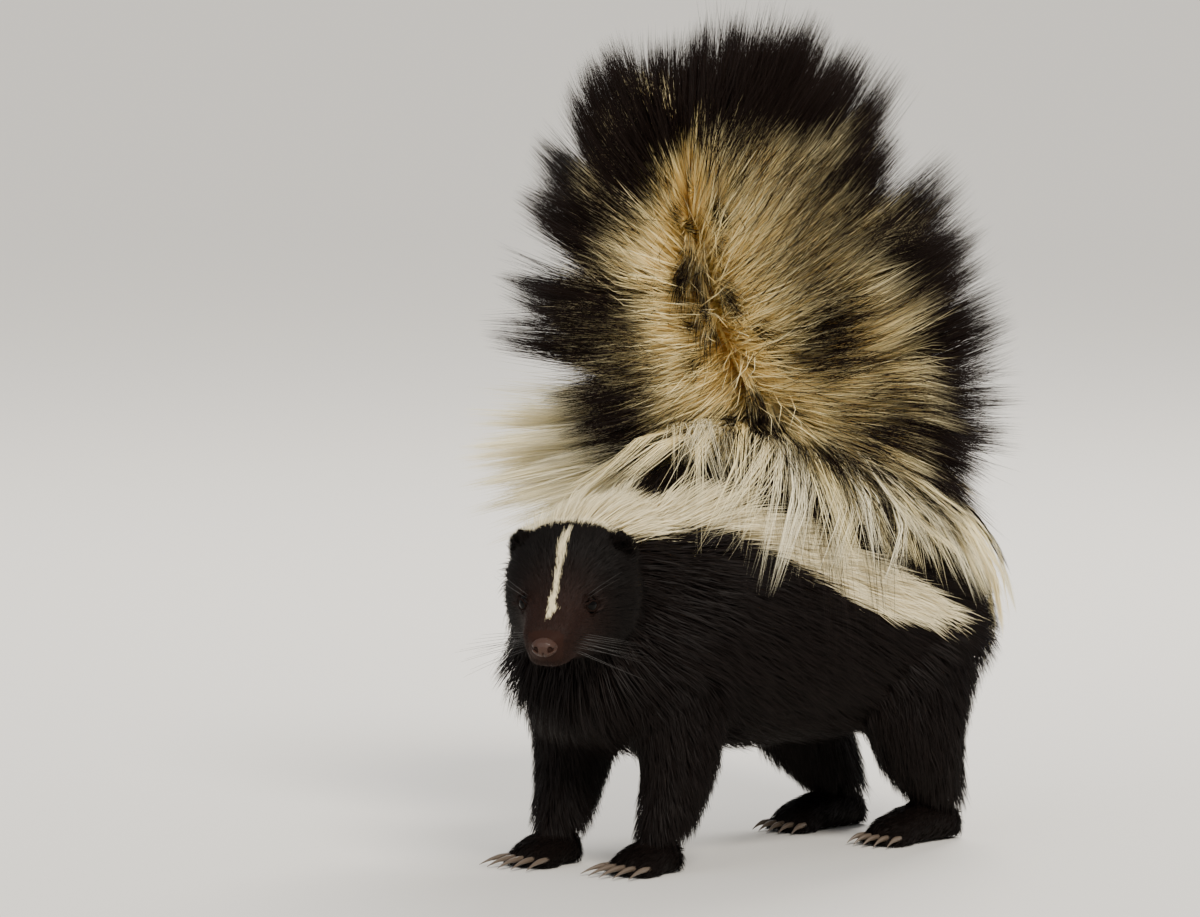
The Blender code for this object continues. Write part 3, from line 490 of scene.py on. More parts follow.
def remeshed(name, mesh, voxel, smoothing=0):
    """A mesh made again as one closed surface from voxels, and smoothed."""
    holder = bpy.data.objects.new(name, mesh)
    bpy.context.scene.collection.objects.link(holder)
    remesh = holder.modifiers.new("remesh", "REMESH")
    remesh.mode = "VOXEL"
    remesh.voxel_size = voxel
    if smoothing:
        holder.modifiers.new("smooth", "SMOOTH").iterations = smoothing
    made = evaluated_mesh(holder)
    bpy.data.objects.remove(holder, do_unlink=True)
    return made


def build_flesh():
    """The animal's outline as one closed surface, from its solids and the tail's own core."""
    meshes = [bpy.data.objects[name].data for name in FLESH + LEGS + ("nose",)]
    meshes += [paw_without_claws(name) for name in PAWS]
    core = tube_mesh("tail_core", Bone.points, Bone.rows[:, 3] * CM, 16)
    mesh = remeshed("flesh", merge_meshes("flesh", meshes + [core]), SKIN_VOXEL)
    faces = np.empty(len(mesh.loops), np.int32)
    mesh.loops.foreach_get("vertex_index", faces)
    verts, faces = largest_shell(points_of(mesh), faces.reshape(-1, 4))
    surface = Surface(verts, faces)
    surface.labels = nearest_parts(verts, core)
    return surface


def nearest_parts(points, core):
    """The name of the part that each point lies closest to."""
    verts, faces, names = [], [], []
    for name in FLESH + LEGS + PAWS + ("tail",):
        mesh = core if name == "tail" else bpy.data.objects[name].data
        part_verts, part_faces = triangles_of(mesh)
        faces.append(part_faces + sum(len(v) for v in verts))
        verts.append(part_verts)
        names += [name] * len(part_faces)
    tree = BVHTree.FromPolygons(np.concatenate(verts).tolist(), np.concatenate(faces).tolist())
    return np.array([names[tree.find_nearest(Vector(p))[2]] for p in points])


def build_skin_surface():
    """The skin: the outline smoothed over the seams and sunk by the coat's depth."""
    surface = build_flesh()
    verts = surface.verts
    on_head = np.isin(surface.labels, ("head", "ear_left", "ear_right"))
    forward = Head.local(verts)[0]
    keen = on_head * smoothstep(0.2, 1.8, forward)
    paws = np.array([label in PAWS for label in surface.labels])
    share = 0.5 * (1 - 0.93 * np.maximum(keen, paws * 0.9))
    surface.verts = surface.smoothed(verts, 40, share)
    for ear in ("ear_left", "ear_right"):
        here = surface.labels == ear
        foot = middle(ear) - Head.up * 0.9 * CM
        surface.verts[here] = foot + (surface.verts[here] - foot) * EAR_SCALE
    surface.verts = surface.smoothed(surface.verts, 3, 0.5 * on_head * (forward < 3.5))
    numbers, flow = coat_fields(surface.verts, surface.labels, surface.normals())
    numbers = surface.smoothed(numbers, 14)
    surface.flow = surface.smoothed(unit(flow), 30)
    surface.depth, surface.length, surface.width = (numbers[:, k] * CM for k in range(3))
    surface.lift = np.radians(numbers[:, 3])
    outline = surface.verts
    surface.verts = outline - surface.normals() * surface.depth[:, None]
    surface.verts = surface.smoothed(surface.verts, 6, 0.4 * (1 - keen))
    surface.verts[:, 2] = np.maximum(surface.verts[:, 2], 0.0)
    return surface


class Coat:
    """Random places on the skin, with everything a hair rooted there needs."""

    def __init__(self, surface, chosen, count, seed):
        chance = np.random.default_rng(seed)
        corner = surface.verts[surface.faces]
        area = np.linalg.norm(np.cross(corner[:, 2] - corner[:, 0], corner[:, 3] - corner[:, 1]), axis=1)
        need = area / np.maximum(surface.length * surface.width, 1e-7)[surface.faces].mean(axis=1) ** 0.8
        weight = need * chosen[surface.faces].mean(axis=1)
        face = chance.choice(len(weight), size=count, p=weight / weight.sum())
        u, v = chance.random((2, count))
        shares = np.stack([(1 - u) * (1 - v), u * (1 - v), u * v, (1 - u) * v], axis=1)
        corners = surface.faces[face]

        def read(field):
            values = field[corners]
            return (values * shares.reshape(shares.shape + (1,) * (values.ndim - 2))).sum(axis=1)

        self.chance = chance
        self.roots = read(surface.verts)
        self.normals = unit(read(surface.skin_normals))
        flow = read(surface.flow)
        flow = flow - self.normals * (flow * self.normals).sum(axis=1, keepdims=True)
        self.flow = unit(flow)
        self.length, self.width, self.lift = read(surface.length), read(surface.width), read(surface.lift)


def hair_paths(roots, first, last, length, stations, chance, wave):
    """Points along hairs that leave along first, bend to last and wave a little."""
    t = stations[None, :, None]
    way = first[:, None] * t + (last - first)[:, None] * (t * t / 2)
    path = roots[:, None] + way * length[:, None, None]
    bend = unit(chance.normal(size=(len(roots), 3)))[:, None]
    phase = chance.uniform(0, 2 * math.pi, (len(roots), 1, 1))
    return path + bend * np.sin(t * 5.0 + phase) * t * (wave * length)[:, None, None]


def gathered(path, leader, share, stations):
    """Paths drawn towards the paths of their leaders, more so to the tips."""
    pull = np.asarray(share)[..., None, None] * stations[None, :, None] ** 1.3
    return path + (path[leader] - path) * pull


def trimmed(path, cut, stations):
    """Paths cut off at a share of their length."""
    place = stations[None] * cut[:, None]
    step = np.clip(np.searchsorted(stations, place, side="right") - 1, 0, len(stations) - 2)
    part = (place - stations[step]) / (stations[step + 1] - stations[step])
    row = np.arange(len(path))[:, None]
    return mix(path[row, step], path[row, step + 1], part[..., None])


# The size of each hair's patch on the map, and how far above the floor hair stays, in metres
UV_PATCH, HAIR_ABOVE_FLOOR = 0.003, 0.0004


def hair_mesh(name, path, facing, width, stations, fur, unwrap, chance):
    """An object of thin tapered hairs along paths, each flat across the way it faces.

    fur holds each hair's pale share, random tone and warmth.
    """
    count, rings = len(path), len(stations) - 1
    path[..., 2] = np.maximum(path[..., 2], HAIR_ABOVE_FLOOR)
    along = unit(np.gradient(path, axis=1))
    across = unit(np.cross(along, (facing + chance.normal(scale=0.35, size=(count, 3)))[:, None]))
    profile = np.interp(stations[:-1], (0.0, 0.3, 1.0), (0.8, 1.0, 0.3))
    radius = (width[:, None] * profile[None] / 2)[..., None]
    sides = [path[:, :-1] + radius * across[:, :-1] * way for way in (-1, 1)]
    verts = np.concatenate([np.stack(sides, axis=2).reshape(count, rings * 2, 3), path[:, -1:]], axis=1)
    pattern = []
    for k in range(0, 2 * rings - 2, 2):
        pattern += [(k, k + 1, k + 3), (k, k + 3, k + 2)]
    pattern = np.array(pattern + [(2 * rings - 2, 2 * rings - 1, 2 * rings)])
    size = rings * 2 + 1
    faces = (pattern[None] + (np.arange(count) * size)[:, None, None]).reshape(-1, 3)
    mesh = mesh_from_arrays(name, verts.reshape(-1, 3), faces)
    share = np.concatenate([np.repeat(stations[:-1], 2), stations[-1:]])
    colours = np.empty((count, size, 4))
    colours[..., 0], colours[..., 2], colours[..., 3] = (fur[:, k, None] for k in range(3))
    colours[..., 1] = share
    paint(mesh, "fur", colours)
    corner = np.concatenate([np.tile((0.0, 1.0), rings), (0.5,)])
    places = unwrap[:, None] + np.stack([corner, share], axis=1)[None] * UV_PATCH
    layer = mesh.uv_layers.new(name="OFBake")
    layer.data.foreach_set("uv", places.reshape(-1, 2)[faces.ravel()].astype(np.float32).ravel())
    return new_object(name, mesh)


def nearest_leaders(points, leaders):
    """For each point, the number of the closest of some leading points."""
    tree = KDTree(len(leaders))
    for number in leaders:
        tree.insert(Vector(points[number]), int(number))
    tree.balance()
    return np.array([tree.find(Vector(point))[1] for point in points])


def round_unwrap(along, turn):
    """Places on an unwrap that runs along a limb and once round it."""
    return np.stack([0.01 + 0.97 * np.clip(along, 0, 1), 0.01 + 0.97 * (turn / (2 * math.pi) % 1.0)], axis=1)


def part_unwrap(points, part):
    """Places of roots on the unwrap of their part."""
    if part in ("head", "ear"):
        forward, side, height = Head.local(points)
        return round_unwrap((forward + 2.0) / 11.0, np.arctan2(side, height))
    if part in ("foreleg", "hindleg", "forepaw", "hindpaw"):
        left = points[:, 0] > BODY_SHIFT[0]
        centre = BODY_SHIFT[0] + np.where(left, 1, -1) * 3.0 * CM
        middle_y = np.where(left, points[left, 1].mean(), points[~left, 1].mean())
        turn = np.arctan2(points[:, 0] - centre, points[:, 1] - middle_y)
        unwrapped = round_unwrap(points[:, 2] / 0.12, turn)
        unwrapped[:, 1] = unwrapped[:, 1] * 0.49 + 0.5 * left
        return unwrapped
    left, ahead, up = body_local(points)
    return round_unwrap((ahead + 15.0) / 30.0, np.arctan2(left, up - 11.0))


FINE, LONG = np.array((0.0, 0.5, 1.0)), np.array((0.0, 0.33, 0.67, 1.0))
# Each piece of the coat: its parts, its kind, how far forward on the head, hairs, hairs in a tuft, stations
# and how far its tufts are gathered
COAT_PIECES = {
    "coat_face": (("head",), "head", (3.0, 9.0), 46000, 9, FINE, 0.2),
    "coat_crown": (("head", "ear_left", "ear_right"), "head", (-9.0, 3.0), 34000, 14, FINE, 0.4),
    "coat_neck_and_chest": (("neck", "chest"), "chest", None, 34000, 26, LONG, 0.5),
    "coat_hips": (("hips", "tail"), "hips", None, 30000, 26, LONG, 0.5),
    "coat_forelegs": (("foreleg_left", "foreleg_right"), "foreleg", None, 19000, 20, FINE, 0.45),
    "coat_hindlegs": (("hindleg_left", "hindleg_right"), "hindleg", None, 21000, 22, FINE, 0.5),
    "coat_forepaws": (("forepaw_left", "forepaw_right"), "forepaw", None, 9000, 10, FINE, 0.3),
    "coat_hindpaws": (("hindpaw_left", "hindpaw_right"), "hindpaw", None, 9000, 10, FINE, 0.3),
}
# How steeply a hair leaves the skin and ends, as parts of its lift; how far its marking strays, in metres;
# how much longer white hair is; and where the coat ends on the tail, in centimetres
ROOT_STEEPNESS, TIP_STEEPNESS = 1.7, 0.35
MARK_STRAY, WHITE_LONGER = 0.045 * CM, 1.12
COAT_TOP_ON_TAIL = 15.2


def bare_places(surface):
    """Where no hair grows: round the eyes, under the nose pad and on the soles."""
    forward, side, height = Head.local(surface.verts)
    bare = np.zeros(len(surface.verts), bool)
    for eye in ("eye_left", "eye_right"):
        bare |= np.linalg.norm(surface.verts - middle(eye), axis=1) < (EYE_RADIUS + 0.02) * CM
    bare |= (forward > 7.45) & (np.abs(height + 0.22) < 0.62) & (np.abs(side) < 0.72)
    bare |= (surface.verts[:, 2] < 0.0012) & (surface.skin_normals[:, 2] < -0.6)
    return bare


def grow_coat(surface, name, seed):
    """One piece of the body's coat, as hairs over its part of the skin."""
    parts, part, range_ahead, count, every, stations, gather = COAT_PIECES[name]
    chosen = np.isin(surface.labels, parts) & ~surface.bare
    if "tail" in parts:
        chosen &= body_local(surface.verts)[2] < COAT_TOP_ON_TAIL
    if range_ahead:
        forward = Head.local(surface.verts)[0]
        chosen &= (forward > range_ahead[0]) & (forward <= range_ahead[1])
    coat = Coat(surface, chosen.astype(float), count, seed)
    chance = coat.chance
    lift = coat.lift * chance.uniform(0.75, 1.35, count)
    stray = chance.normal(scale=0.13, size=(count, 3))
    flow = unit(coat.flow + stray - coat.normals * (stray * coat.normals).sum(1, keepdims=True))
    first, last = (
        flow * np.cos(lift * steep)[:, None] + coat.normals * np.sin(lift * steep)[:, None]
        for steep in (ROOT_STEEPNESS, TIP_STEEPNESS)
    )
    length = coat.length * chance.uniform(0.72, 1.12, count)
    strayed = coat.roots + chance.normal(scale=MARK_STRAY, size=coat.roots.shape)
    white = whiteness(strayed + flow * (0.3 * coat.length[:, None])) > chance.uniform(0.12, 0.88, count)
    length *= np.where(white & (part != "head"), WHITE_LONGER, 1.0)
    forward = Head.local(coat.roots)[0]
    warmth = smoothstep(3.4, 6.2, forward) if part == "head" else np.full(count, 0.1)
    pale = np.where(white, WHITE_HAIR, DARK_HAIR)
    fur = np.stack([pale, chance.random(count), warmth * chance.uniform(0.6, 1.2, count)], axis=1)
    leader = nearest_leaders(coat.roots, chance.choice(count, size=count // every, replace=False))
    path = hair_paths(coat.roots - coat.normals * 0.0005, first, last, length, stations, chance, 0.02)
    pull = gather * (white[leader] == white) * chance.uniform(0.5, 1.0, count)
    path = gathered(path, leader, pull, stations)
    unwrap = part_unwrap(coat.roots, part)
    piece = hair_mesh(name, path, coat.normals, coat.width, stations, fur, unwrap, chance)
    piece.data.materials.append(bpy.data.materials["skunk_fur"])


# The plume's hair: its reach in centimetres and how much less it is behind, and its lean in degrees at the
# bone's start with what it gains to the end, ahead and behind
PLUME_REACH, PLUME_REACH_REAR = 9.7, 0.6
LEAN_AHEAD, LEAN_BEHIND = (-50, 115), (-66, 122)
TIP_LEAN, PARTING_DROOP = 84.0, 42
LEAN_FIRST, LEAN_LAST = 0.7, 1.2
# The parting: the turn it faces, how far hair is pushed off it at its root and tip, the shares of the bone
# over which it sets in, and how near a turn counts as near it
PARTING_TURN = math.radians(42)
PARTING_FIRST, PARTING_LAST = math.radians(32), math.radians(62)
PARTING_SETS_IN = (0.38, 0.54)
NEAR_PARTING = 0.6
# The plume's extra reach on the picture's right, in centimetres, and the share it loses to the bone's end
RIGHT_REACH, END_LOSS, RIGHT_END_LOSS = 1.7, 0.16, 0.6
# The pale share of a hair: where it starts from, its most, and its noise from lock to lock, left and right
PALE_LEAST, PALE_MOST, PALE_UNEVEN = 0.38, 0.62, (0.07, 0.20)
# The hanging hair at the tail's root, by its share of the bone: reach in centimetres and droop in degrees
BASE_SHARES = (0.06, 0.12, 0.20, 0.29, 0.40)
BASE_REACH = (6.6, 7.8, 9.2, 10.2, 10.4)
DROOP_AHEAD, DROOP_BESIDE, DROOP_BEHIND = (52, 48, 38, 42, 52), (80, 74, 62, 44, 40), (62, 54, 32, 10, 4)
DROOP_NOISE, REAR_BASE_LOSS = 6, 0.22
# How the hanging hair is swept for each centimetre it falls: back on the left and right of the parting, and
# over the near and the far flank
SWEPT_BACK, SWEPT_NEAR, SWEPT_FAR = (-0.85, 1.25), 0.6, 0.9
# Locks on the whole tail and its measured share, hairs in a tuft, and tiers of the locks that stand apart
LOCKS, LOCKS_LENGTH, TUFT_HAIRS, LOCK_TIERS = 95, 0.66, 55, 8
GOLDEN_TURN = 2.39996
# The furthest the hair may go behind, in metres, by the size allowance
REAR_LIMIT = 0.181
# How low the streamers hang, in centimetres: places from front to back, then heights there
STREAMER_ENDS = (4.0, 12.0), (12.4, 9.8)
STREAMER_PALE, HANGING_PALE = 1.40, (0.14, 0.46)
# Dark-tipped wisps that stand out between the yellow hair of the parting
WISP_SHARE, WISP_HALF_ANGLE, WISP_REACH, WISP_PALE = 0.12, 62, 0.45, 0.58
# In the locks that stand apart: the pale share of loose hairs and of the rest, and the share of their length
# that loose ones keep
LOOSE_PALE, LOCK_PALE, LOOSE_CUT = 0.95, 0.30, 0.74
TAIL_WARMTH = 0.35
TAIL_PIECES = {
    "hair_tail_base": (0.05, 0.34, 36000),
    "hair_tail_lower": (0.34, 0.54, 36000),
    "hair_tail_middle": (0.54, 0.76, 36000),
    "hair_tail_end": (0.76, 1.0, 36000),
}
# The pale fan behind the neck: the share and turn of its middle with their spread, reach, lean and hairs
FAN_SHARE, FAN_TURN, FAN_REACH, FAN_LEAN, FAN_HAIRS = (0.37, 0.015), (-46, 8), 15.6, (33, 8), 5200
FAN_ENDS, FAN_THICKNESS = (0.3, 0.46), 0.06
TAIL_RADIUS, TAIL_HEIGHT, TAIL_THICKNESS = 3.0, 23.0, 0.042


def band(low, rise, fall, high, values):
    """1 from rise to fall, and softly down to 0 at low and high."""
    return smoothstep(low, rise, values) * (1 - smoothstep(fall, high, values))


def wrapped(turn):
    """Angles brought to between minus and plus half a turn."""
    return (turn + math.pi) % (2 * math.pi) - math.pi


def swept(share, turn, lean):
    """Unit directions out from the bone at turns round it, leaned along it by angles in degrees."""
    _, axis, front, left, _ = Bone.at(share)
    radial = front * np.cos(turn)[:, None] + left * np.sin(turn)[:, None]
    lean = np.radians(lean)[:, None]
    return radial * np.cos(lean) + axis * np.sin(lean)


def plume_lean(share, turned, away, loose, chance):
    """How far the plume's hairs lean towards the end of the tail, in degrees."""
    ahead = (1 + np.cos(turned)) / 2
    lean = mix(LEAN_BEHIND[0] + LEAN_BEHIND[1] * share, LEAN_AHEAD[0] + LEAN_AHEAD[1] * share, ahead)
    lean = mix(lean, TIP_LEAN, smoothstep(0.88, 1.0, share) * mix(0.5, chance.random(len(share)), loose))
    lean -= PARTING_DROOP * smoothstep(0.2, 0.7, np.cos(away)) * (1 - smoothstep(0.42, 0.58, share))
    return lean + loose * chance.normal(size=len(share)) * (4 + 8 * (np.abs(away) < NEAR_PARTING))


def plume_reach(share, turned, degrees):
    """How far the plume's hairs reach, in centimetres."""
    reach = PLUME_REACH - PLUME_REACH_REAR * np.cos(turned + math.pi / 4)
    right = smoothstep(10, 60, degrees) * smoothstep(0.40, 0.52, share)
    gained = RIGHT_REACH * right * (1 - RIGHT_END_LOSS * smoothstep(0.85, 0.97, share))
    return reach * (1.0 - END_LOSS * smoothstep(0.75, 1.0, share)) + gained


def plume_paleness(share, degrees):
    """The pale share of the plume's hairs: most round the parting, least behind and at the tail's end."""
    pale = PALE_LEAST + 0.20 * smoothstep(-70, 20, degrees) * smoothstep(0.30, 0.42, share)
    pale += 0.04 * band(-60, -10, 60, 90, degrees) * smoothstep(0.38, 0.5, share)
    pale -= 0.14 * smoothstep(40, 90, degrees) * smoothstep(0.60, 0.75, share)
    pale -= 0.10 * smoothstep(75, 125, np.abs(degrees)) + 0.08 * smoothstep(120, 170, np.abs(degrees))
    return pale * (1 - 0.42 * smoothstep(0.82, 0.97, share))


def plume_directions(share, turn, loose, chance):
    """Directions, reach and pale share of the plume's hairs; loose is 0 for a lock's leader."""
    away = wrapped(turn - PARTING_TURN)
    parted = smoothstep(*PARTING_SETS_IN, share)
    turned = []
    for half in (PARTING_FIRST, PARTING_LAST):
        pushed = np.sign(away) * (half + (math.pi - half) * np.abs(away) / math.pi)
        stray = loose * chance.normal(size=len(share)) * (0.07 + 0.22 * (np.abs(away) < NEAR_PARTING))
        turned.append(PARTING_TURN + mix(away, pushed, parted) + stray)
    lean = plume_lean(share, turned[1], away, loose, chance)
    first, last = swept(share, turned[0], lean * LEAN_FIRST), swept(share, turned[1], lean * LEAN_LAST)
    degrees = np.degrees(away)
    return first, last, plume_reach(share, turned[1], degrees), plume_paleness(share, degrees)


def base_directions(share, turn, chance):
    """First and last directions and reach of the hair at the tail's root, which hangs over the rump."""
    ahead, beside, behind = (
        np.interp(share, BASE_SHARES, row) for row in (DROOP_AHEAD, DROOP_BESIDE, DROOP_BEHIND)
    )
    end = np.where(np.cos(turn) > 0, ahead, behind)
    noise = chance.normal(scale=DROOP_NOISE, size=len(turn))
    droop = np.radians(beside + (end - beside) * np.cos(turn) ** 2 + noise)
    back = mix(*SWEPT_BACK, smoothstep(0.30, 0.80, np.sin(turn))) * smoothstep(-0.3, 0.3, np.cos(turn))
    degrees = np.degrees(wrapped(turn))
    near, far = band(-45, -15, 35, 60, degrees), band(-110, -80, -45, -25, degrees)
    outward = np.stack([np.sin(turn), -np.cos(turn), 0 * turn], axis=1)
    down = unit(np.stack([SWEPT_NEAR * near - SWEPT_FAR * far, back, np.full(len(turn), -1.0)], axis=1))
    first, last = (
        outward * np.cos(droop * part)[:, None] + down * np.sin(droop * part)[:, None] for part in (0.3, 1.3)
    )
    reach = np.interp(share, BASE_SHARES, BASE_REACH)
    return first, last, reach * (1 - REAR_BASE_LOSS * np.maximum(0.0, -np.cos(turn)))


def left_side(turn):
    """1 where the tail's hair points to the picture's left, where its locks stand well apart."""
    return smoothstep(0.35, 0.75, -np.sin(turn - PARTING_TURN))


def tail_places(low, high, count, chance):
    """Shares and turns of hairs, the locks' leaders first, and the leaders of each hair's lock and tuft."""
    locks, tufts = round(LOCKS * (high - low) / LOCKS_LENGTH), count // TUFT_HAIRS
    share, turn = chance.uniform(low, high, count), chance.uniform(0, 2 * math.pi, count)
    order = np.arange(locks)
    share[:locks] = low + (high - low) * (order + 0.5) / locks
    turn[:locks] = (order * GOLDEN_TURN + chance.normal(scale=0.12, size=locks)) % (2 * math.pi)
    tier = (np.floor(share[:locks] * LOCK_TIERS) + 0.5) / LOCK_TIERS
    share[:locks] = mix(share[:locks], tier, 0.85 * left_side(turn[:locks]))
    around = np.stack([share * TAIL_HEIGHT, np.cos(turn) * TAIL_RADIUS, np.sin(turn) * TAIL_RADIUS], axis=1)
    lock = nearest_leaders(around, order)
    tuft = nearest_leaders(around, np.arange(locks, locks + tufts))
    return share, turn, lock, tuft


def ended_above(path, tuft, chance):
    """Paths that end where the streamers do, over the flank's stripe."""
    lowest = np.interp(path[:, -1, 1] / CM, STREAMER_ENDS[0], STREAMER_ENDS[1]) * CM
    lowest = lowest + chance.normal(scale=0.7 * CM, size=len(path))[tuft]
    fallen = path[:, 0, 2] - path[:, -1, 2]
    share = (path[:, 0, 2] - lowest) / np.maximum(fallen, 1e-6)
    return trimmed(path, np.where(fallen > 0, np.clip(share, 0.25, 1.0), 1.0), LONG)


def ended_within(path):
    """Paths cut where they would pass the size allowance behind the animal."""
    farthest = path[:, :, 1].max(axis=1)
    share = (REAR_LIMIT - path[:, 0, 1]) / np.maximum(farthest - path[:, 0, 1], 1e-6)
    return trimmed(path, np.where(farthest > REAR_LIMIT, np.clip(0.95 * share, 0.1, 1.0), 1.0), LONG)


class TailHair:
    """One length of the tail's long hair; each array holds a value for every hair."""

    def __init__(self, name, seed):
        self.low, self.high, self.count = TAIL_PIECES[name]
        self.chance = np.random.default_rng(seed)
        places = tail_places(self.low, self.high, self.count, self.chance)
        self.share, self.turn, self.lock, self.tuft = places
        self.away = np.degrees(wrapped(self.turn - PARTING_TURN))
        self.towards = band(-95, -65, 55, 80, self.away)
        self.right = band(5, 45, 105, 135, self.away)
        self.close = np.cos(self.turn - PARTING_TURN) > 0.75

    def noise(self, scale, leader=slice(None)):
        """Random numbers for the hairs, or shared by the hairs that have the same leader."""
        return (scale * self.chance.normal(size=self.count))[leader]

    def pick_directions(self):
        """Directions, reach and pale share, blended from the hanging hair to the plume."""
        led = (self.lock != np.arange(self.count)).astype(float)
        plume = plume_directions(self.share, self.turn, led, self.chance)
        self.lock = self.lock[self.tuft]
        base = base_directions(self.share, self.turn, self.chance)
        self.strayed = (self.share + self.noise(0.045))[self.tuft]
        self.blend = smoothstep(0.24 + 0.11 * self.towards, 0.44 + 0.06 * self.towards, self.strayed)
        self.first, self.last = (unit(mix(base[k], plume[k], self.blend[:, None])) for k in range(2))
        self.short = self.chance.random(self.count) < np.where(self.close, 0.45, 0.2)
        self.reach = mix(base[2], plume[2], self.blend) * (1 + self.noise(0.06, self.lock))
        under, over = self.chance.uniform(0.15, 0.75, self.count), self.chance.uniform(0.84, 1.0, self.count)
        self.cut = np.where(self.short, under, over)
        uneven = self.noise(mix(*PALE_UNEVEN, self.right), self.lock)
        self.pale = np.minimum(plume[3] + uneven, PALE_MOST) + self.noise(0.05, self.tuft)

    def pick_streamers(self):
        """Makes some of the hanging tufts white streamers, and the rest shorter and darker."""
        beside = band(50, 75, 120, 150, self.away) * (1 - smoothstep(0.17, 0.22, self.share))
        likely = 0.05 + self.towards * (0.20 + 0.14 * smoothstep(0.24, 0.34, self.share)) + 0.55 * beside
        streamer = (self.chance.random(self.count) < likely)[self.tuft]
        self.hanging = self.strayed < 0.27 + 0.13 * self.towards
        white = STREAMER_PALE + self.noise(0.06, self.tuft)
        dark = mix(*HANGING_PALE, smoothstep(0.2, 0.34, self.strayed))
        standing = np.minimum(self.pale / self.cut, 1.2)
        self.pale = np.where(self.hanging, np.where(streamer, white, dark), standing)
        ahead = self.towards * (1 - smoothstep(0.3, 0.8, np.sin(self.turn)))
        changed = np.where(streamer, 1 + 0.36 * ahead, mix(0.72, 0.58, self.towards))
        self.reach = np.where(self.hanging, self.reach * changed, self.reach)

    def pick_wisps(self):
        """Turns some tufts along the parting into short wisps that point every way."""
        picked = (self.chance.random(self.count) < WISP_SHARE)[self.tuft]
        self.wisp = picked & (np.abs(self.away) < WISP_HALF_ANGLE) & (self.strayed > 0.38)
        aside = PARTING_TURN + np.radians(self.away * 0.8 + self.noise(34, self.tuft))
        tilt = 4 + self.noise(22, self.tuft) + self.noise(12)
        self.first = np.where(self.wisp[:, None], swept(self.share, aside, tilt * 0.4), self.first)
        self.last = np.where(self.wisp[:, None], swept(self.share, aside, tilt * 1.5), self.last)
        self.cut = np.where(self.wisp, WISP_REACH * self.chance.uniform(0.8, 1.2, self.count), self.cut)
        self.pale = np.where(self.wisp, WISP_PALE, self.pale)
        self.pale = np.where(self.pale < 1, self.pale + self.noise(0.04), self.pale)

    def grown(self):
        """The hairs' paths from the tail's skin, gathered into locks and tufts."""
        point, _, front, left, radius = Bone.at(self.share)
        radial = front * np.cos(self.turn)[:, None] + left * np.sin(self.turn)[:, None]
        roots = point + radial * (radius * 0.85)[:, None]
        path = hair_paths(roots, self.first, self.last, self.reach * CM, LONG, self.chance, 0.02)
        apart = left_side(self.turn) * ~self.hanging
        loose = self.chance.random(self.count) < mix(0.16, 0.34, apart)
        apart_pale = np.where(loose, LOOSE_PALE, LOCK_PALE)
        self.pale = np.where((apart > 0.5) & ~self.short, apart_pale, self.pale)
        self.cut = np.where((apart > 0.5) & loose, self.cut * LOOSE_CUT, self.cut)
        jitter = self.chance.normal(scale=0.18 * CM, size=(self.count, 2, 3))
        path[:, 2:] += self.wisp[:, None, None] * jitter
        weight = (0.34 + 0.44 * apart + 0.22 * self.right) * self.chance.uniform(0.75, 1.2, self.count)
        weight = np.where(self.close | self.hanging | self.wisp, 0.12, weight * np.where(loose, 0.2, 1.0))
        path = gathered(path, self.lock, weight, LONG)
        tighter = self.chance.uniform(0.3, 0.75, self.count) + 0.28 * self.hanging
        return gathered(path, self.tuft, tighter * (self.chance.random(self.count) < 0.86), LONG)

    def settled(self, path):
        """The paths waved where they hang, cut to length and laid over the trunk."""
        sway = unit(self.chance.normal(size=(self.count, 3)))[self.tuft]
        sway = sway * (self.reach * CM * 0.07 * self.hanging)[:, None]
        phase = self.chance.uniform(0, 6.3, self.count)[self.tuft][:, None]
        path = path + sway[:, None] * (np.sin(LONG[None] * 5.5 + phase) * LONG[None])[..., None]
        path = trimmed(path, self.cut, LONG)
        height = (self.chance.uniform(0.7, 1.2, self.count) * (1 + self.towards))[self.tuft][:, None]
        laid = (self.blend < 0.8)[:, None, None]
        path[:, 1:] = np.where(laid, clear_of_trunk(path[:, 1:], height), path[:, 1:])
        over_flank = (self.hanging & (np.cos(self.turn) > -0.4))[:, None, None]
        path = np.where(over_flank, ended_above(path, self.tuft, self.chance), path)
        return ended_within(path)


def grow_tail(name, seed):
    """One length of the tail's long hair, in pointed locks made of finer tufts."""
    hair = TailHair(name, seed)
    hair.pick_directions()
    hair.pick_streamers()
    hair.pick_wisps()
    path = hair.settled(hair.grown())
    tone = mix(hair.chance.random(hair.count)[hair.tuft], hair.chance.random(hair.count), 0.5)
    fur = np.stack([hair.pale, tone, np.full(hair.count, TAIL_WARMTH)], axis=1)
    add_tail_hair(name, path, hair.share, hair.turn, (hair.low, hair.high), fur, hair.chance)


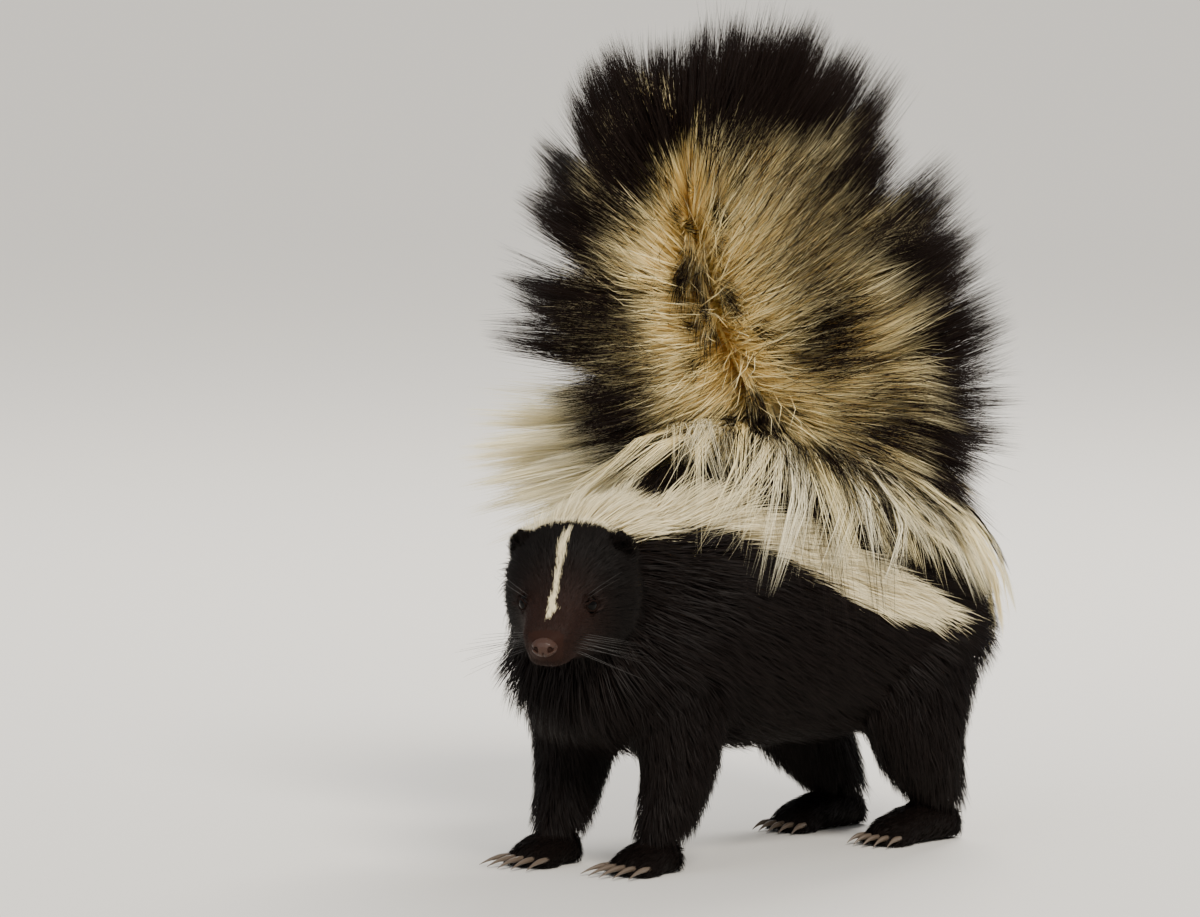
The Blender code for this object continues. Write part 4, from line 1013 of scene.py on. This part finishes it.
def grow_fan():
    """The fan of long white hairs that stands out on the far side over the neck."""
    chance = np.random.default_rng(77)
    share = FAN_SHARE[0] + FAN_SHARE[1] * chance.normal(size=FAN_HAIRS)
    turn = np.radians(FAN_TURN[0] + FAN_TURN[1] * chance.normal(size=FAN_HAIRS))
    lean = FAN_LEAN[0] + FAN_LEAN[1] * chance.normal(size=FAN_HAIRS)
    first, last = swept(share, turn, lean + 8), swept(share, turn, lean - 4)
    reach = FAN_REACH * CM * chance.uniform(0.45, 1.0, FAN_HAIRS) ** 0.6
    path = hair_paths(Bone.at(share)[0], first, last, reach, LONG, chance, 0.02)
    leader = nearest_leaders(last, np.arange(FAN_HAIRS // 40))
    path = gathered(path, leader, chance.uniform(0.4, 0.9, FAN_HAIRS), LONG)
    path = clear_of_trunk(path, 0.25)
    fur = np.stack([np.full(FAN_HAIRS, WHITE_HAIR), chance.random(FAN_HAIRS), np.zeros(FAN_HAIRS)], axis=1)
    add_tail_hair("hair_tail_fan", path, share, turn, FAN_ENDS, fur, chance, FAN_THICKNESS)


def add_tail_hair(name, path, share, turn, ends, fur, chance, thickness=TAIL_THICKNESS):
    """One piece of tail hair from its paths."""
    count = len(path)
    facing = chance.normal(size=(count, 3))
    width = thickness * CM * chance.uniform(0.7, 1.2, count)
    unwrap = round_unwrap((share - ends[0]) / (ends[1] - ends[0]), turn)
    piece = hair_mesh(name, path, facing, width, LONG, fur, unwrap, chance)
    piece.data.materials.append(bpy.data.materials["skunk_tail_hair"])


def socket(group, name, kind, way, value=None):
    """One named socket of a shader group."""
    made = group.interface.new_socket(name=name, in_out=way, socket_type=kind)
    if value is not None:
        made.default_value = value
    return made


def math_node(tree, operation, first, second=None, clamp=False):
    """A maths node with its inputs linked or set, and its output."""
    node = tree.nodes.new("ShaderNodeMath")
    node.operation = operation
    node.use_clamp = clamp
    for index, value in enumerate((first, second)):
        if value is None:
            continue
        if isinstance(value, (int, float)):
            node.inputs[index].default_value = value
        else:
            tree.links.new(value, node.inputs[index])
    return node.outputs[0]


def colour_mix(tree, share, first, second):
    """A colour mix node and its output."""
    node = tree.nodes.new("ShaderNodeMix")
    node.data_type = "RGBA"
    for name, value in (("Factor", share), ("A", first), ("B", second)):
        kind = "VALUE" if name == "Factor" else "RGBA"
        target = next(s for s in node.inputs if s.name == name and s.type == kind)
        if isinstance(value, (int, float, tuple)):
            target.default_value = value
        else:
            tree.links.new(value, target)
    return next(s for s in node.outputs if s.type == "RGBA")


def hair_colour_group():
    """The colour of a hair from its root to its tip, with random tone."""
    group = bpy.data.node_groups.new("hair_colour", "ShaderNodeTree")
    for name in ("Pale Share", "Along", "Tone", "Warmth"):
        socket(group, name, "NodeSocketFloat", "INPUT", 0.5)
    for name in ("Dark", "Warm Dark", "Skin End", "Root", "Pale", "White"):
        socket(group, name, "NodeSocketColor", "INPUT", (0.5, 0.5, 0.5, 1.0))
    socket(group, "Softness", "NodeSocketFloat", "INPUT", 0.15)
    socket(group, "Root Length", "NodeSocketFloat", "INPUT", 0.4)
    socket(group, "Colour", "NodeSocketColor", "OUTPUT")
    given = group.nodes.new("NodeGroupInput").outputs
    dark = colour_mix(group, given["Warmth"], given["Dark"], given["Warm Dark"])
    rooted = math_node(group, "DIVIDE", given["Along"], given["Root Length"], True)
    pale = colour_mix(group, rooted, given["Root"], given["Pale"])
    whole = math_node(group, "MULTIPLY", math_node(group, "SUBTRACT", given["Pale Share"], 1.35), 10.0, True)
    pale = colour_mix(group, whole, pale, given["White"])
    close = math_node(group, "DIVIDE", given["Along"], 0.16, True)
    pale = colour_mix(group, close, given["Skin End"], pale)
    gap = math_node(group, "SUBTRACT", given["Pale Share"], given["Along"])
    mask = math_node(group, "ADD", math_node(group, "DIVIDE", gap, given["Softness"]), 0.5, True)
    colour = colour_mix(group, mask, dark, pale)
    tone = math_node(group, "ADD", math_node(group, "MULTIPLY", given["Tone"], 0.40), 0.80)
    scale = group.nodes.new("ShaderNodeVectorMath")
    scale.operation = "SCALE"
    group.links.new(colour, scale.inputs[0])
    group.links.new(tone, scale.inputs["Scale"])
    out = group.nodes.new("NodeGroupOutput")
    group.links.new(scale.outputs[0], out.inputs["Colour"])
    return group


def plain_material(name, colour, roughness, specular=0.5, coat=0.0, coat_roughness=0.03):
    """A material with a Principled shader, and that shader."""
    made = bpy.data.materials.new(name)
    made.use_nodes = True
    shader = made.node_tree.nodes["Principled BSDF"]
    shader.inputs["Base Color"].default_value = (*colour, 1.0)
    shader.inputs["Roughness"].default_value = roughness
    shader.inputs["Specular IOR Level"].default_value = specular
    shader.inputs["Coat Weight"].default_value = coat
    shader.inputs["Coat Roughness"].default_value = coat_roughness
    return made, shader


def hair_material(name, roughness, group, **values):
    """A fur material: the hair group's colour under a soft sheen."""
    made, shader = plain_material(name, (0.5, 0.5, 0.5), roughness, specular=0.10)
    tree = made.node_tree
    read = tree.nodes.new("ShaderNodeAttribute")
    read.attribute_name = "fur"
    split = tree.nodes.new("ShaderNodeSeparateColor")
    tree.links.new(read.outputs["Color"], split.inputs[0])
    colour = tree.nodes.new("ShaderNodeGroup")
    colour.node_tree = group
    for socket_name, source in zip(("Pale Share", "Along", "Tone"), split.outputs):
        tree.links.new(source, colour.inputs[socket_name])
    tree.links.new(read.outputs["Alpha"], colour.inputs["Warmth"])
    for socket_name, value in values.items():
        colour.inputs[socket_name.replace("_", " ")].default_value = value
    tree.links.new(colour.outputs["Colour"], shader.inputs["Base Color"])
    return made


def make_materials(settings):
    """Every material of the animal."""
    group = hair_colour_group()
    dark, warm = (*settings.dark_fur, 1.0), (*settings.face_fur, 1.0)
    white, cream = (*settings.white_fur, 1.0), (*settings.tail_root, 1.0)
    hair_material(
        "skunk_fur", 0.55, group, Dark=dark, Warm_Dark=warm, Skin_End=white, Root=white, Pale=white,
        White=white, Softness=0.2,
    )
    hair_material(
        "skunk_tail_hair", 0.55, group, Dark=dark, Warm_Dark=(0.022, 0.0115, 0.0085, 1.0),
        Skin_End=(0.66, 0.32, 0.06, 1.0), Root=cream, Pale=(1.0, 0.86, 0.49, 1.0),
        White=(0.93, 0.85, 0.60, 1.0), Softness=0.16, Root_Length=0.75,
    )
    skin, shader = plain_material("skunk_skin", (0.02, 0.014, 0.012), 0.6, specular=0.05)
    tree = skin.node_tree
    read = tree.nodes.new("ShaderNodeAttribute")
    read.attribute_name = "fur"
    tree.links.new(read.outputs["Color"], shader.inputs["Base Color"])
    add_bump(tree, shader, 900.0, 0.3, 0.0004)
    pad, shader = plain_material("skunk_nose_pad", (0.040, 0.019, 0.013), 0.5, 0.1, 0.25, 0.25)
    add_bump(pad.node_tree, shader, 2600.0, 0.5, 0.0002)
    plain_material("skunk_eye", (0.0012, 0.0009, 0.0008), 0.10, 0.04, 0.10)
    plain_material("skunk_eyelid", (0.010, 0.0050, 0.0036), 0.8, 0.05)
    claw, shader = plain_material("skunk_claw", (0.11, 0.082, 0.060), 0.38)
    add_bump(claw.node_tree, shader, 700.0, 0.2, 0.0002)
    plain_material("skunk_whisker", (0.015, 0.012, 0.010), 0.4)


def add_bump(tree, shader, scale, strength, distance):
    """Fine noise bump on a shader."""
    noise = tree.nodes.new("ShaderNodeTexNoise")
    noise.inputs["Scale"].default_value = scale
    noise.inputs["Detail"].default_value = 3.0
    place = tree.nodes.new("ShaderNodeTexCoord")
    tree.links.new(place.outputs["Object"], noise.inputs["Vector"])
    bump = tree.nodes.new("ShaderNodeBump")
    bump.inputs["Strength"].default_value = strength
    bump.inputs["Distance"].default_value = distance
    tree.links.new(noise.outputs["Fac"], bump.inputs["Height"])
    tree.links.new(bump.outputs["Normal"], shader.inputs["Normal"])


def make_skin(settings):
    """The skin piece, painted with the coat's markings, and the surface the coat grows on."""
    surface = build_skin_surface()
    surface.skin_normals = surface.normals()
    surface.bare = bare_places(surface)
    mesh = mesh_from_arrays("skin", surface.verts, surface.faces)
    white = whiteness(surface.verts)[:, None]
    on_tail = (surface.labels == "tail")[:, None]
    forward = Head.local(surface.verts)[0]
    warm = (np.isin(surface.labels, ("head",)) * smoothstep(3.6, 6.8, forward))[:, None]
    dark = mix(np.array(settings.dark_fur), np.array(settings.face_fur), warm)
    colour = mix(dark, np.array(settings.white_fur) * 0.8, white)
    colour = np.where(on_tail, np.array(settings.tail_root) * 0.75, colour)
    paint(mesh, "fur", np.concatenate([colour, np.ones((len(colour), 1))], axis=1))
    skin = new_object("skin", mesh)
    mesh.materials.append(bpy.data.materials["skunk_skin"])
    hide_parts(*REPLACED)
    return surface


# The lids' opening in centimetres: half its width and height, how much its corners narrow, the rim's radius
LID_HALF_WIDTH, LID_HALF_HEIGHT, LID_CORNER, LID_RIM = 0.29, 0.235, 0.2, 0.035
LID_CLEARANCE = 0.01


def make_eye(side, word):
    """A round glossy eyeball with its two lids."""
    centre = middle("eye_" + word)
    work = bmesh.new()
    bmesh.ops.create_uvsphere(work, u_segments=32, v_segments=24, radius=EYE_RADIUS * CM)
    bmesh.ops.translate(work, verts=work.verts, vec=Vector(centre))
    mesh = bpy.data.meshes.new("eyeball_" + word)
    work.to_mesh(mesh)
    work.free()
    mesh.shade_smooth()
    eyeball = new_object("eyeball_" + word, mesh)
    mesh.materials.append(bpy.data.materials["skunk_eye"])
    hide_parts("eye_" + word)
    gaze = unit(Head.forward * EYE_GAZE[0] + Head.side * (side * EYE_GAZE[1]) + Head.up * EYE_GAZE[2])
    across = unit(np.cross(Head.up, gaze))
    over = np.cross(gaze, across)
    turn = np.linspace(0, 2 * math.pi, 29)
    wide = LID_HALF_WIDTH * np.cos(turn)
    tall = LID_HALF_HEIGHT * np.sin(turn) * (1 - LID_CORNER * np.abs(np.cos(turn)))
    depth = np.sqrt(np.maximum((EYE_RADIUS + LID_CLEARANCE) ** 2 - wide**2 - tall**2, 0.0))
    path = centre + (gaze * depth[:, None] + across * wide[:, None] + over * tall[:, None]) * CM
    lids = new_object("eyelids_" + word, tube_mesh("eyelids_" + word, path, LID_RIM * CM))
    lids.data.materials.append(bpy.data.materials["skunk_eyelid"])


# Grooves of the nose pad: from and to (side, height), half width and depth, in centimetres
NOSE_GROOVES = (
    ((0.26, -0.33), (0.56, -0.20), 0.085, 0.16),
    ((0.0, -0.38), (0.0, -0.70), 0.05, 0.05),
)


def carve_nose(mesh):
    """Presses the nostrils' slits and the groove under the nose into the pad."""
    verts = points_of(mesh)
    _, side, height = Head.local(verts)
    place = np.stack([np.abs(side), height], axis=1)
    for start, end, half_width, depth in NOSE_GROOVES:
        start, span = np.array(start), np.subtract(end, start)
        share = np.clip((place - start) @ span / (span @ span), 0, 1)
        apart = np.linalg.norm(place - start - share[:, None] * span, axis=1)
        verts -= Head.forward * ((1 - smoothstep(0.3, 1.0, apart / half_width)) * depth * CM)[:, None]
    mesh.vertices.foreach_set("co", verts.astype(np.float32).ravel())
    mesh.update()


def make_nose():
    """The nose pad, rounded from its solid, with its nostrils kept."""
    mesh = remeshed("nose_shape", bpy.data.objects["nose"].data.copy(), NOSE_VOXEL, smoothing=8)
    carve_nose(mesh)
    mesh.name = "nose_pad"
    mesh.materials.clear()
    mesh.materials.append(bpy.data.materials["skunk_nose_pad"])
    mesh.shade_smooth()
    pad = new_object("nose_pad", mesh)
    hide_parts("nose")


# Whiskers on each side, how many stand in a row and on the muzzle, and their radius at root and tip
WHISKERS, WHISKER_ROW, MUZZLE_WHISKERS = 14, 5, 12
WHISKER_RADII, WHISKER_STEPS = (0.013, 0.003), 9


def make_whiskers(surface):
    """Fine dark whiskers on both sides of the muzzle and over the eyes."""
    chance = np.random.default_rng(5)
    tree = BVHTree.FromPolygons(surface.verts.tolist(), surface.faces.tolist())
    meshes = []
    for side in (-1, 1):
        for k in range(WHISKERS):
            row, place = divmod(k, WHISKER_ROW)
            forward, height = 6.9 - 0.28 * place, -0.35 - 0.24 * row
            reach, lift = 3.4 - 0.25 * place, -0.1 - 0.12 * row
            if k >= MUZZLE_WHISKERS:
                forward, height, reach, lift = 5.0 + 0.25 * (k - MUZZLE_WHISKERS), 1.15, 1.9, 0.7
            start, _, _, _ = tree.find_nearest(Vector(Head.point(forward, side * 1.3, height)))
            way = Head.side * side * 0.9 + Head.forward * chance.uniform(-0.15, 0.2) + Head.up * lift
            bend = -Head.forward * 0.55 - Head.up * 0.25
            t = np.linspace(0, 1, WHISKER_STEPS)[:, None]
            path = np.array(start) + (unit(way) * t + bend * t * t * 0.6) * reach * CM
            meshes.append(tube_mesh("whisker", path, np.linspace(*WHISKER_RADII, WHISKER_STEPS) * CM, 5))
    whiskers = new_object("whiskers", merge_meshes("whiskers", meshes))
    whiskers.data.shade_smooth()
    whiskers.data.materials.append(bpy.data.materials["skunk_whisker"])


# Claws in centimetres: half the width and the turn of each kind of paw's toes, the height of the claws'
# roots, how far they drop, how far back the outer ones stand, and their radius by the share of their length
TOES = {"forepaw": (1.25, 12), "hindpaw": (1.2, 9)}
CLAW_HEIGHT, CLAW_DROP, OUTER_TOES_BACK = 0.41, 0.30, 0.30
CLAW_SHARES, CLAW_RADII = (-0.3, 0.2, 1.0), (0.13, 0.125, 0.012)


def make_claws(node):
    """The five curved claws of one paw, set where the solid has them."""
    kind = node.split("_")[0]
    length = CLAW_LENGTH[kind]
    low, high = (np.array(corner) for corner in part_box(node))
    half_width, spread = TOES[kind]
    centre_x = (low[0] + high[0]) / 2
    toe_front = low[1] + length
    meshes = []
    for toe in range(5):
        across = (toe - 2) / 2
        turn = math.radians(spread) * across
        forward = np.array((math.sin(turn), -math.cos(turn), 0.0))
        start_x = centre_x + across * (half_width - 0.25) * CM + math.sin(turn) * 0.95 * CM
        start_y = toe_front + OUTER_TOES_BACK * CM * across**2
        t = np.linspace(CLAW_SHARES[0], CLAW_SHARES[-1], 12)
        path = np.array((start_x, start_y, CLAW_HEIGHT * CM)) + forward * (t * length)[:, None]
        path[:, 2] -= CLAW_DROP * CM * np.maximum(t, 0) ** 2
        meshes.append(tube_mesh("claw", path, np.interp(t, CLAW_SHARES, CLAW_RADII) * CM, 10))
    claws = new_object("claws_" + node, merge_meshes("claws_" + node, meshes))
    claws.data.shade_smooth()
    claws.data.materials.append(bpy.data.materials["skunk_claw"])


def make_floor():
    """A wide pale floor."""
    mesh = bpy.data.meshes.new("studio_floor")
    signs = ((-1, -1), (1, -1), (1, 1), (-1, 1))
    corners = [(side * FLOOR_HALF, end * FLOOR_HALF, 0.0) for side, end in signs]
    mesh.from_pydata(corners, [], [(0, 1, 2, 3)])
    floor = bpy.data.objects.new("studio_floor", mesh)
    bpy.context.scene.collection.objects.link(floor)
    mesh.materials.append(plain_material("studio_floor", (0.74, 0.71, 0.66), 0.8, 0.2)[0])


def make_light(name, azimuth, elevation, distance, size, power, colour):
    """A soft square light that faces the animal, or with no distance a far one as wide as an angle."""
    a, e = math.radians(azimuth), math.radians(elevation)
    way = Vector((math.sin(a) * math.cos(e), -math.cos(a) * math.cos(e), math.sin(e)))
    data = bpy.data.lights.new(name, "AREA" if distance else "SUN")
    if distance:
        data.size = size
    else:
        data.angle = size
    data.energy = power
    data.color = colour
    light = bpy.data.objects.new(name, data)
    light.location = Vector((0, 0, 0.17)) + way * distance
    light.rotation_euler = way.to_track_quat("Z", "Y").to_euler()
    bpy.context.scene.collection.objects.link(light)


def make_camera():
    """The camera, where the photo was taken from."""
    a, e = CAMERA_AZIMUTH, CAMERA_ELEVATION
    back = Vector((math.sin(a) * math.cos(e), -math.cos(a) * math.cos(e), math.sin(e)))
    right = Vector((math.cos(a), math.sin(a), 0.0))
    data = bpy.data.cameras.new("camera")
    data.lens = CAMERA_LENS
    data.clip_end = 50.0
    camera = bpy.data.objects.new("camera", data)
    bpy.context.scene.collection.objects.link(camera)
    turn = Matrix((right, back.cross(right), back)).transposed().to_4x4()
    aim = Vector(body_point(*CAMERA_AIM))
    aim.z = CAMERA_AIM[2] * CM
    camera.matrix_world = Matrix.Translation(aim + back * CAMERA_DISTANCE) @ turn
    bpy.context.scene.camera = camera


def make_studio(settings):
    """Floor, soft lights, sky light and camera."""
    make_floor()
    make_light("key", 64, 40, 0.0, math.radians(20), 3.6 * settings.light, (1.0, 0.95, 0.86))
    make_light("fill", 5, 30, 2.6, 1.8, 16.0 * settings.light, (0.95, 0.97, 1.0))
    make_light("rim", 205, 50, 2.4, 1.0, 60.0 * settings.light, (1.0, 0.97, 0.92))
    world = bpy.data.worlds.new("studio")
    world.use_nodes = True
    world.node_tree.nodes["Background"].inputs["Color"].default_value = (0.95, 0.97, 1.0, 1.0)
    world.node_tree.nodes["Background"].inputs["Strength"].default_value = 0.6
    bpy.context.scene.world = world
    make_camera()


class SkunkSettings(bpy.types.PropertyGroup):
    """Colours and sizes of the skunk's coat."""

    dark_fur: bpy.props.FloatVectorProperty(
        name="Dark fur", description="Colour of the black fur",
        subtype="COLOR", default=(0.0050, 0.0034, 0.0028),
    )
    face_fur: bpy.props.FloatVectorProperty(
        name="Face fur", description="Warm brown of the muzzle",
        subtype="COLOR", default=(0.020, 0.0088, 0.0062),
    )
    white_fur: bpy.props.FloatVectorProperty(
        name="White fur", description="Colour of stripes and streamers",
        subtype="COLOR", default=(0.82, 0.72, 0.46),
    )
    tail_root: bpy.props.FloatVectorProperty(
        name="Tail roots", description="Yellow of the tail hair at its root",
        subtype="COLOR", default=(1.0, 0.74, 0.23),
    )
    light: bpy.props.FloatProperty(
        name="Light", description="Strength of the studio lights", default=1.0, min=0.0
    )


class SKUNK_OT_materials(bpy.types.Operator):
    """Make the fur, skin, eye, nose and claw materials"""

    bl_idname = "skunk.materials"
    bl_label = "Materials"

    def execute(self, context):
        make_materials(context.scene.skunk)
        return {"FINISHED"}


class SKUNK_OT_body(bpy.types.Operator):
    """Make the skin and the coat that grows on it"""

    bl_idname = "skunk.body"
    bl_label = "Skin and coat"

    def execute(self, context):
        surface = make_skin(context.scene.skunk)
        for seed, name in enumerate(COAT_PIECES):
            grow_coat(surface, name, 100 + seed)
        make_whiskers(surface)
        return {"FINISHED"}


class SKUNK_OT_tail(bpy.types.Operator):
    """Make the long hair of the raised tail"""

    bl_idname = "skunk.tail"
    bl_label = "Tail hair"

    def execute(self, context):
        for seed, name in enumerate(TAIL_PIECES):
            grow_tail(name, 200 + seed)
        grow_fan()
        return {"FINISHED"}


class SKUNK_OT_details(bpy.types.Operator):
    """Make the eyes, nose pad and claws"""

    bl_idname = "skunk.details"
    bl_label = "Eyes, nose and claws"

    def execute(self, context):
        make_eye(1, "left")
        make_eye(-1, "right")
        make_nose()
        for node in PAWS:
            make_claws(node)
        return {"FINISHED"}


class SKUNK_OT_studio(bpy.types.Operator):
    """Make the floor, lights and camera"""

    bl_idname = "skunk.studio"
    bl_label = "Studio"

    def execute(self, context):
        make_studio(context.scene.skunk)
        return {"FINISHED"}


class SKUNK_PT_sidebar(bpy.types.Panel):
    """Lists the skunk's settings and steps"""

    bl_idname = "SKUNK_PT_sidebar"
    bl_label = "Striped skunk"
    bl_space_type = "VIEW_3D"
    bl_region_type = "UI"
    bl_category = "Skunk"

    def draw(self, context):
        for name in ("dark_fur", "face_fur", "white_fur", "tail_root", "light"):
            self.layout.prop(context.scene.skunk, name)
        for step in STEPS:
            self.layout.operator(step.bl_idname)


STEPS = (SKUNK_OT_materials, SKUNK_OT_body, SKUNK_OT_tail, SKUNK_OT_details, SKUNK_OT_studio)
CLASSES = (SkunkSettings, *STEPS, SKUNK_PT_sidebar)


def register():
    """Makes the settings, operators and panel known to Blender."""
    for kind in CLASSES:
        bpy.utils.register_class(kind)
    bpy.types.Scene.skunk = bpy.props.PointerProperty(type=SkunkSettings)


def unregister():
    """Takes them away again."""
    del bpy.types.Scene.skunk
    for kind in reversed(CLASSES):
        bpy.utils.unregister_class(kind)


def main():
    """Builds the whole scene."""
    register()
    bpy.ops.skunk.materials()
    bpy.ops.skunk.body()
    bpy.ops.skunk.tail()
    bpy.ops.skunk.details()
    bpy.ops.skunk.studio()


if __name__ == "__main__":
    main()
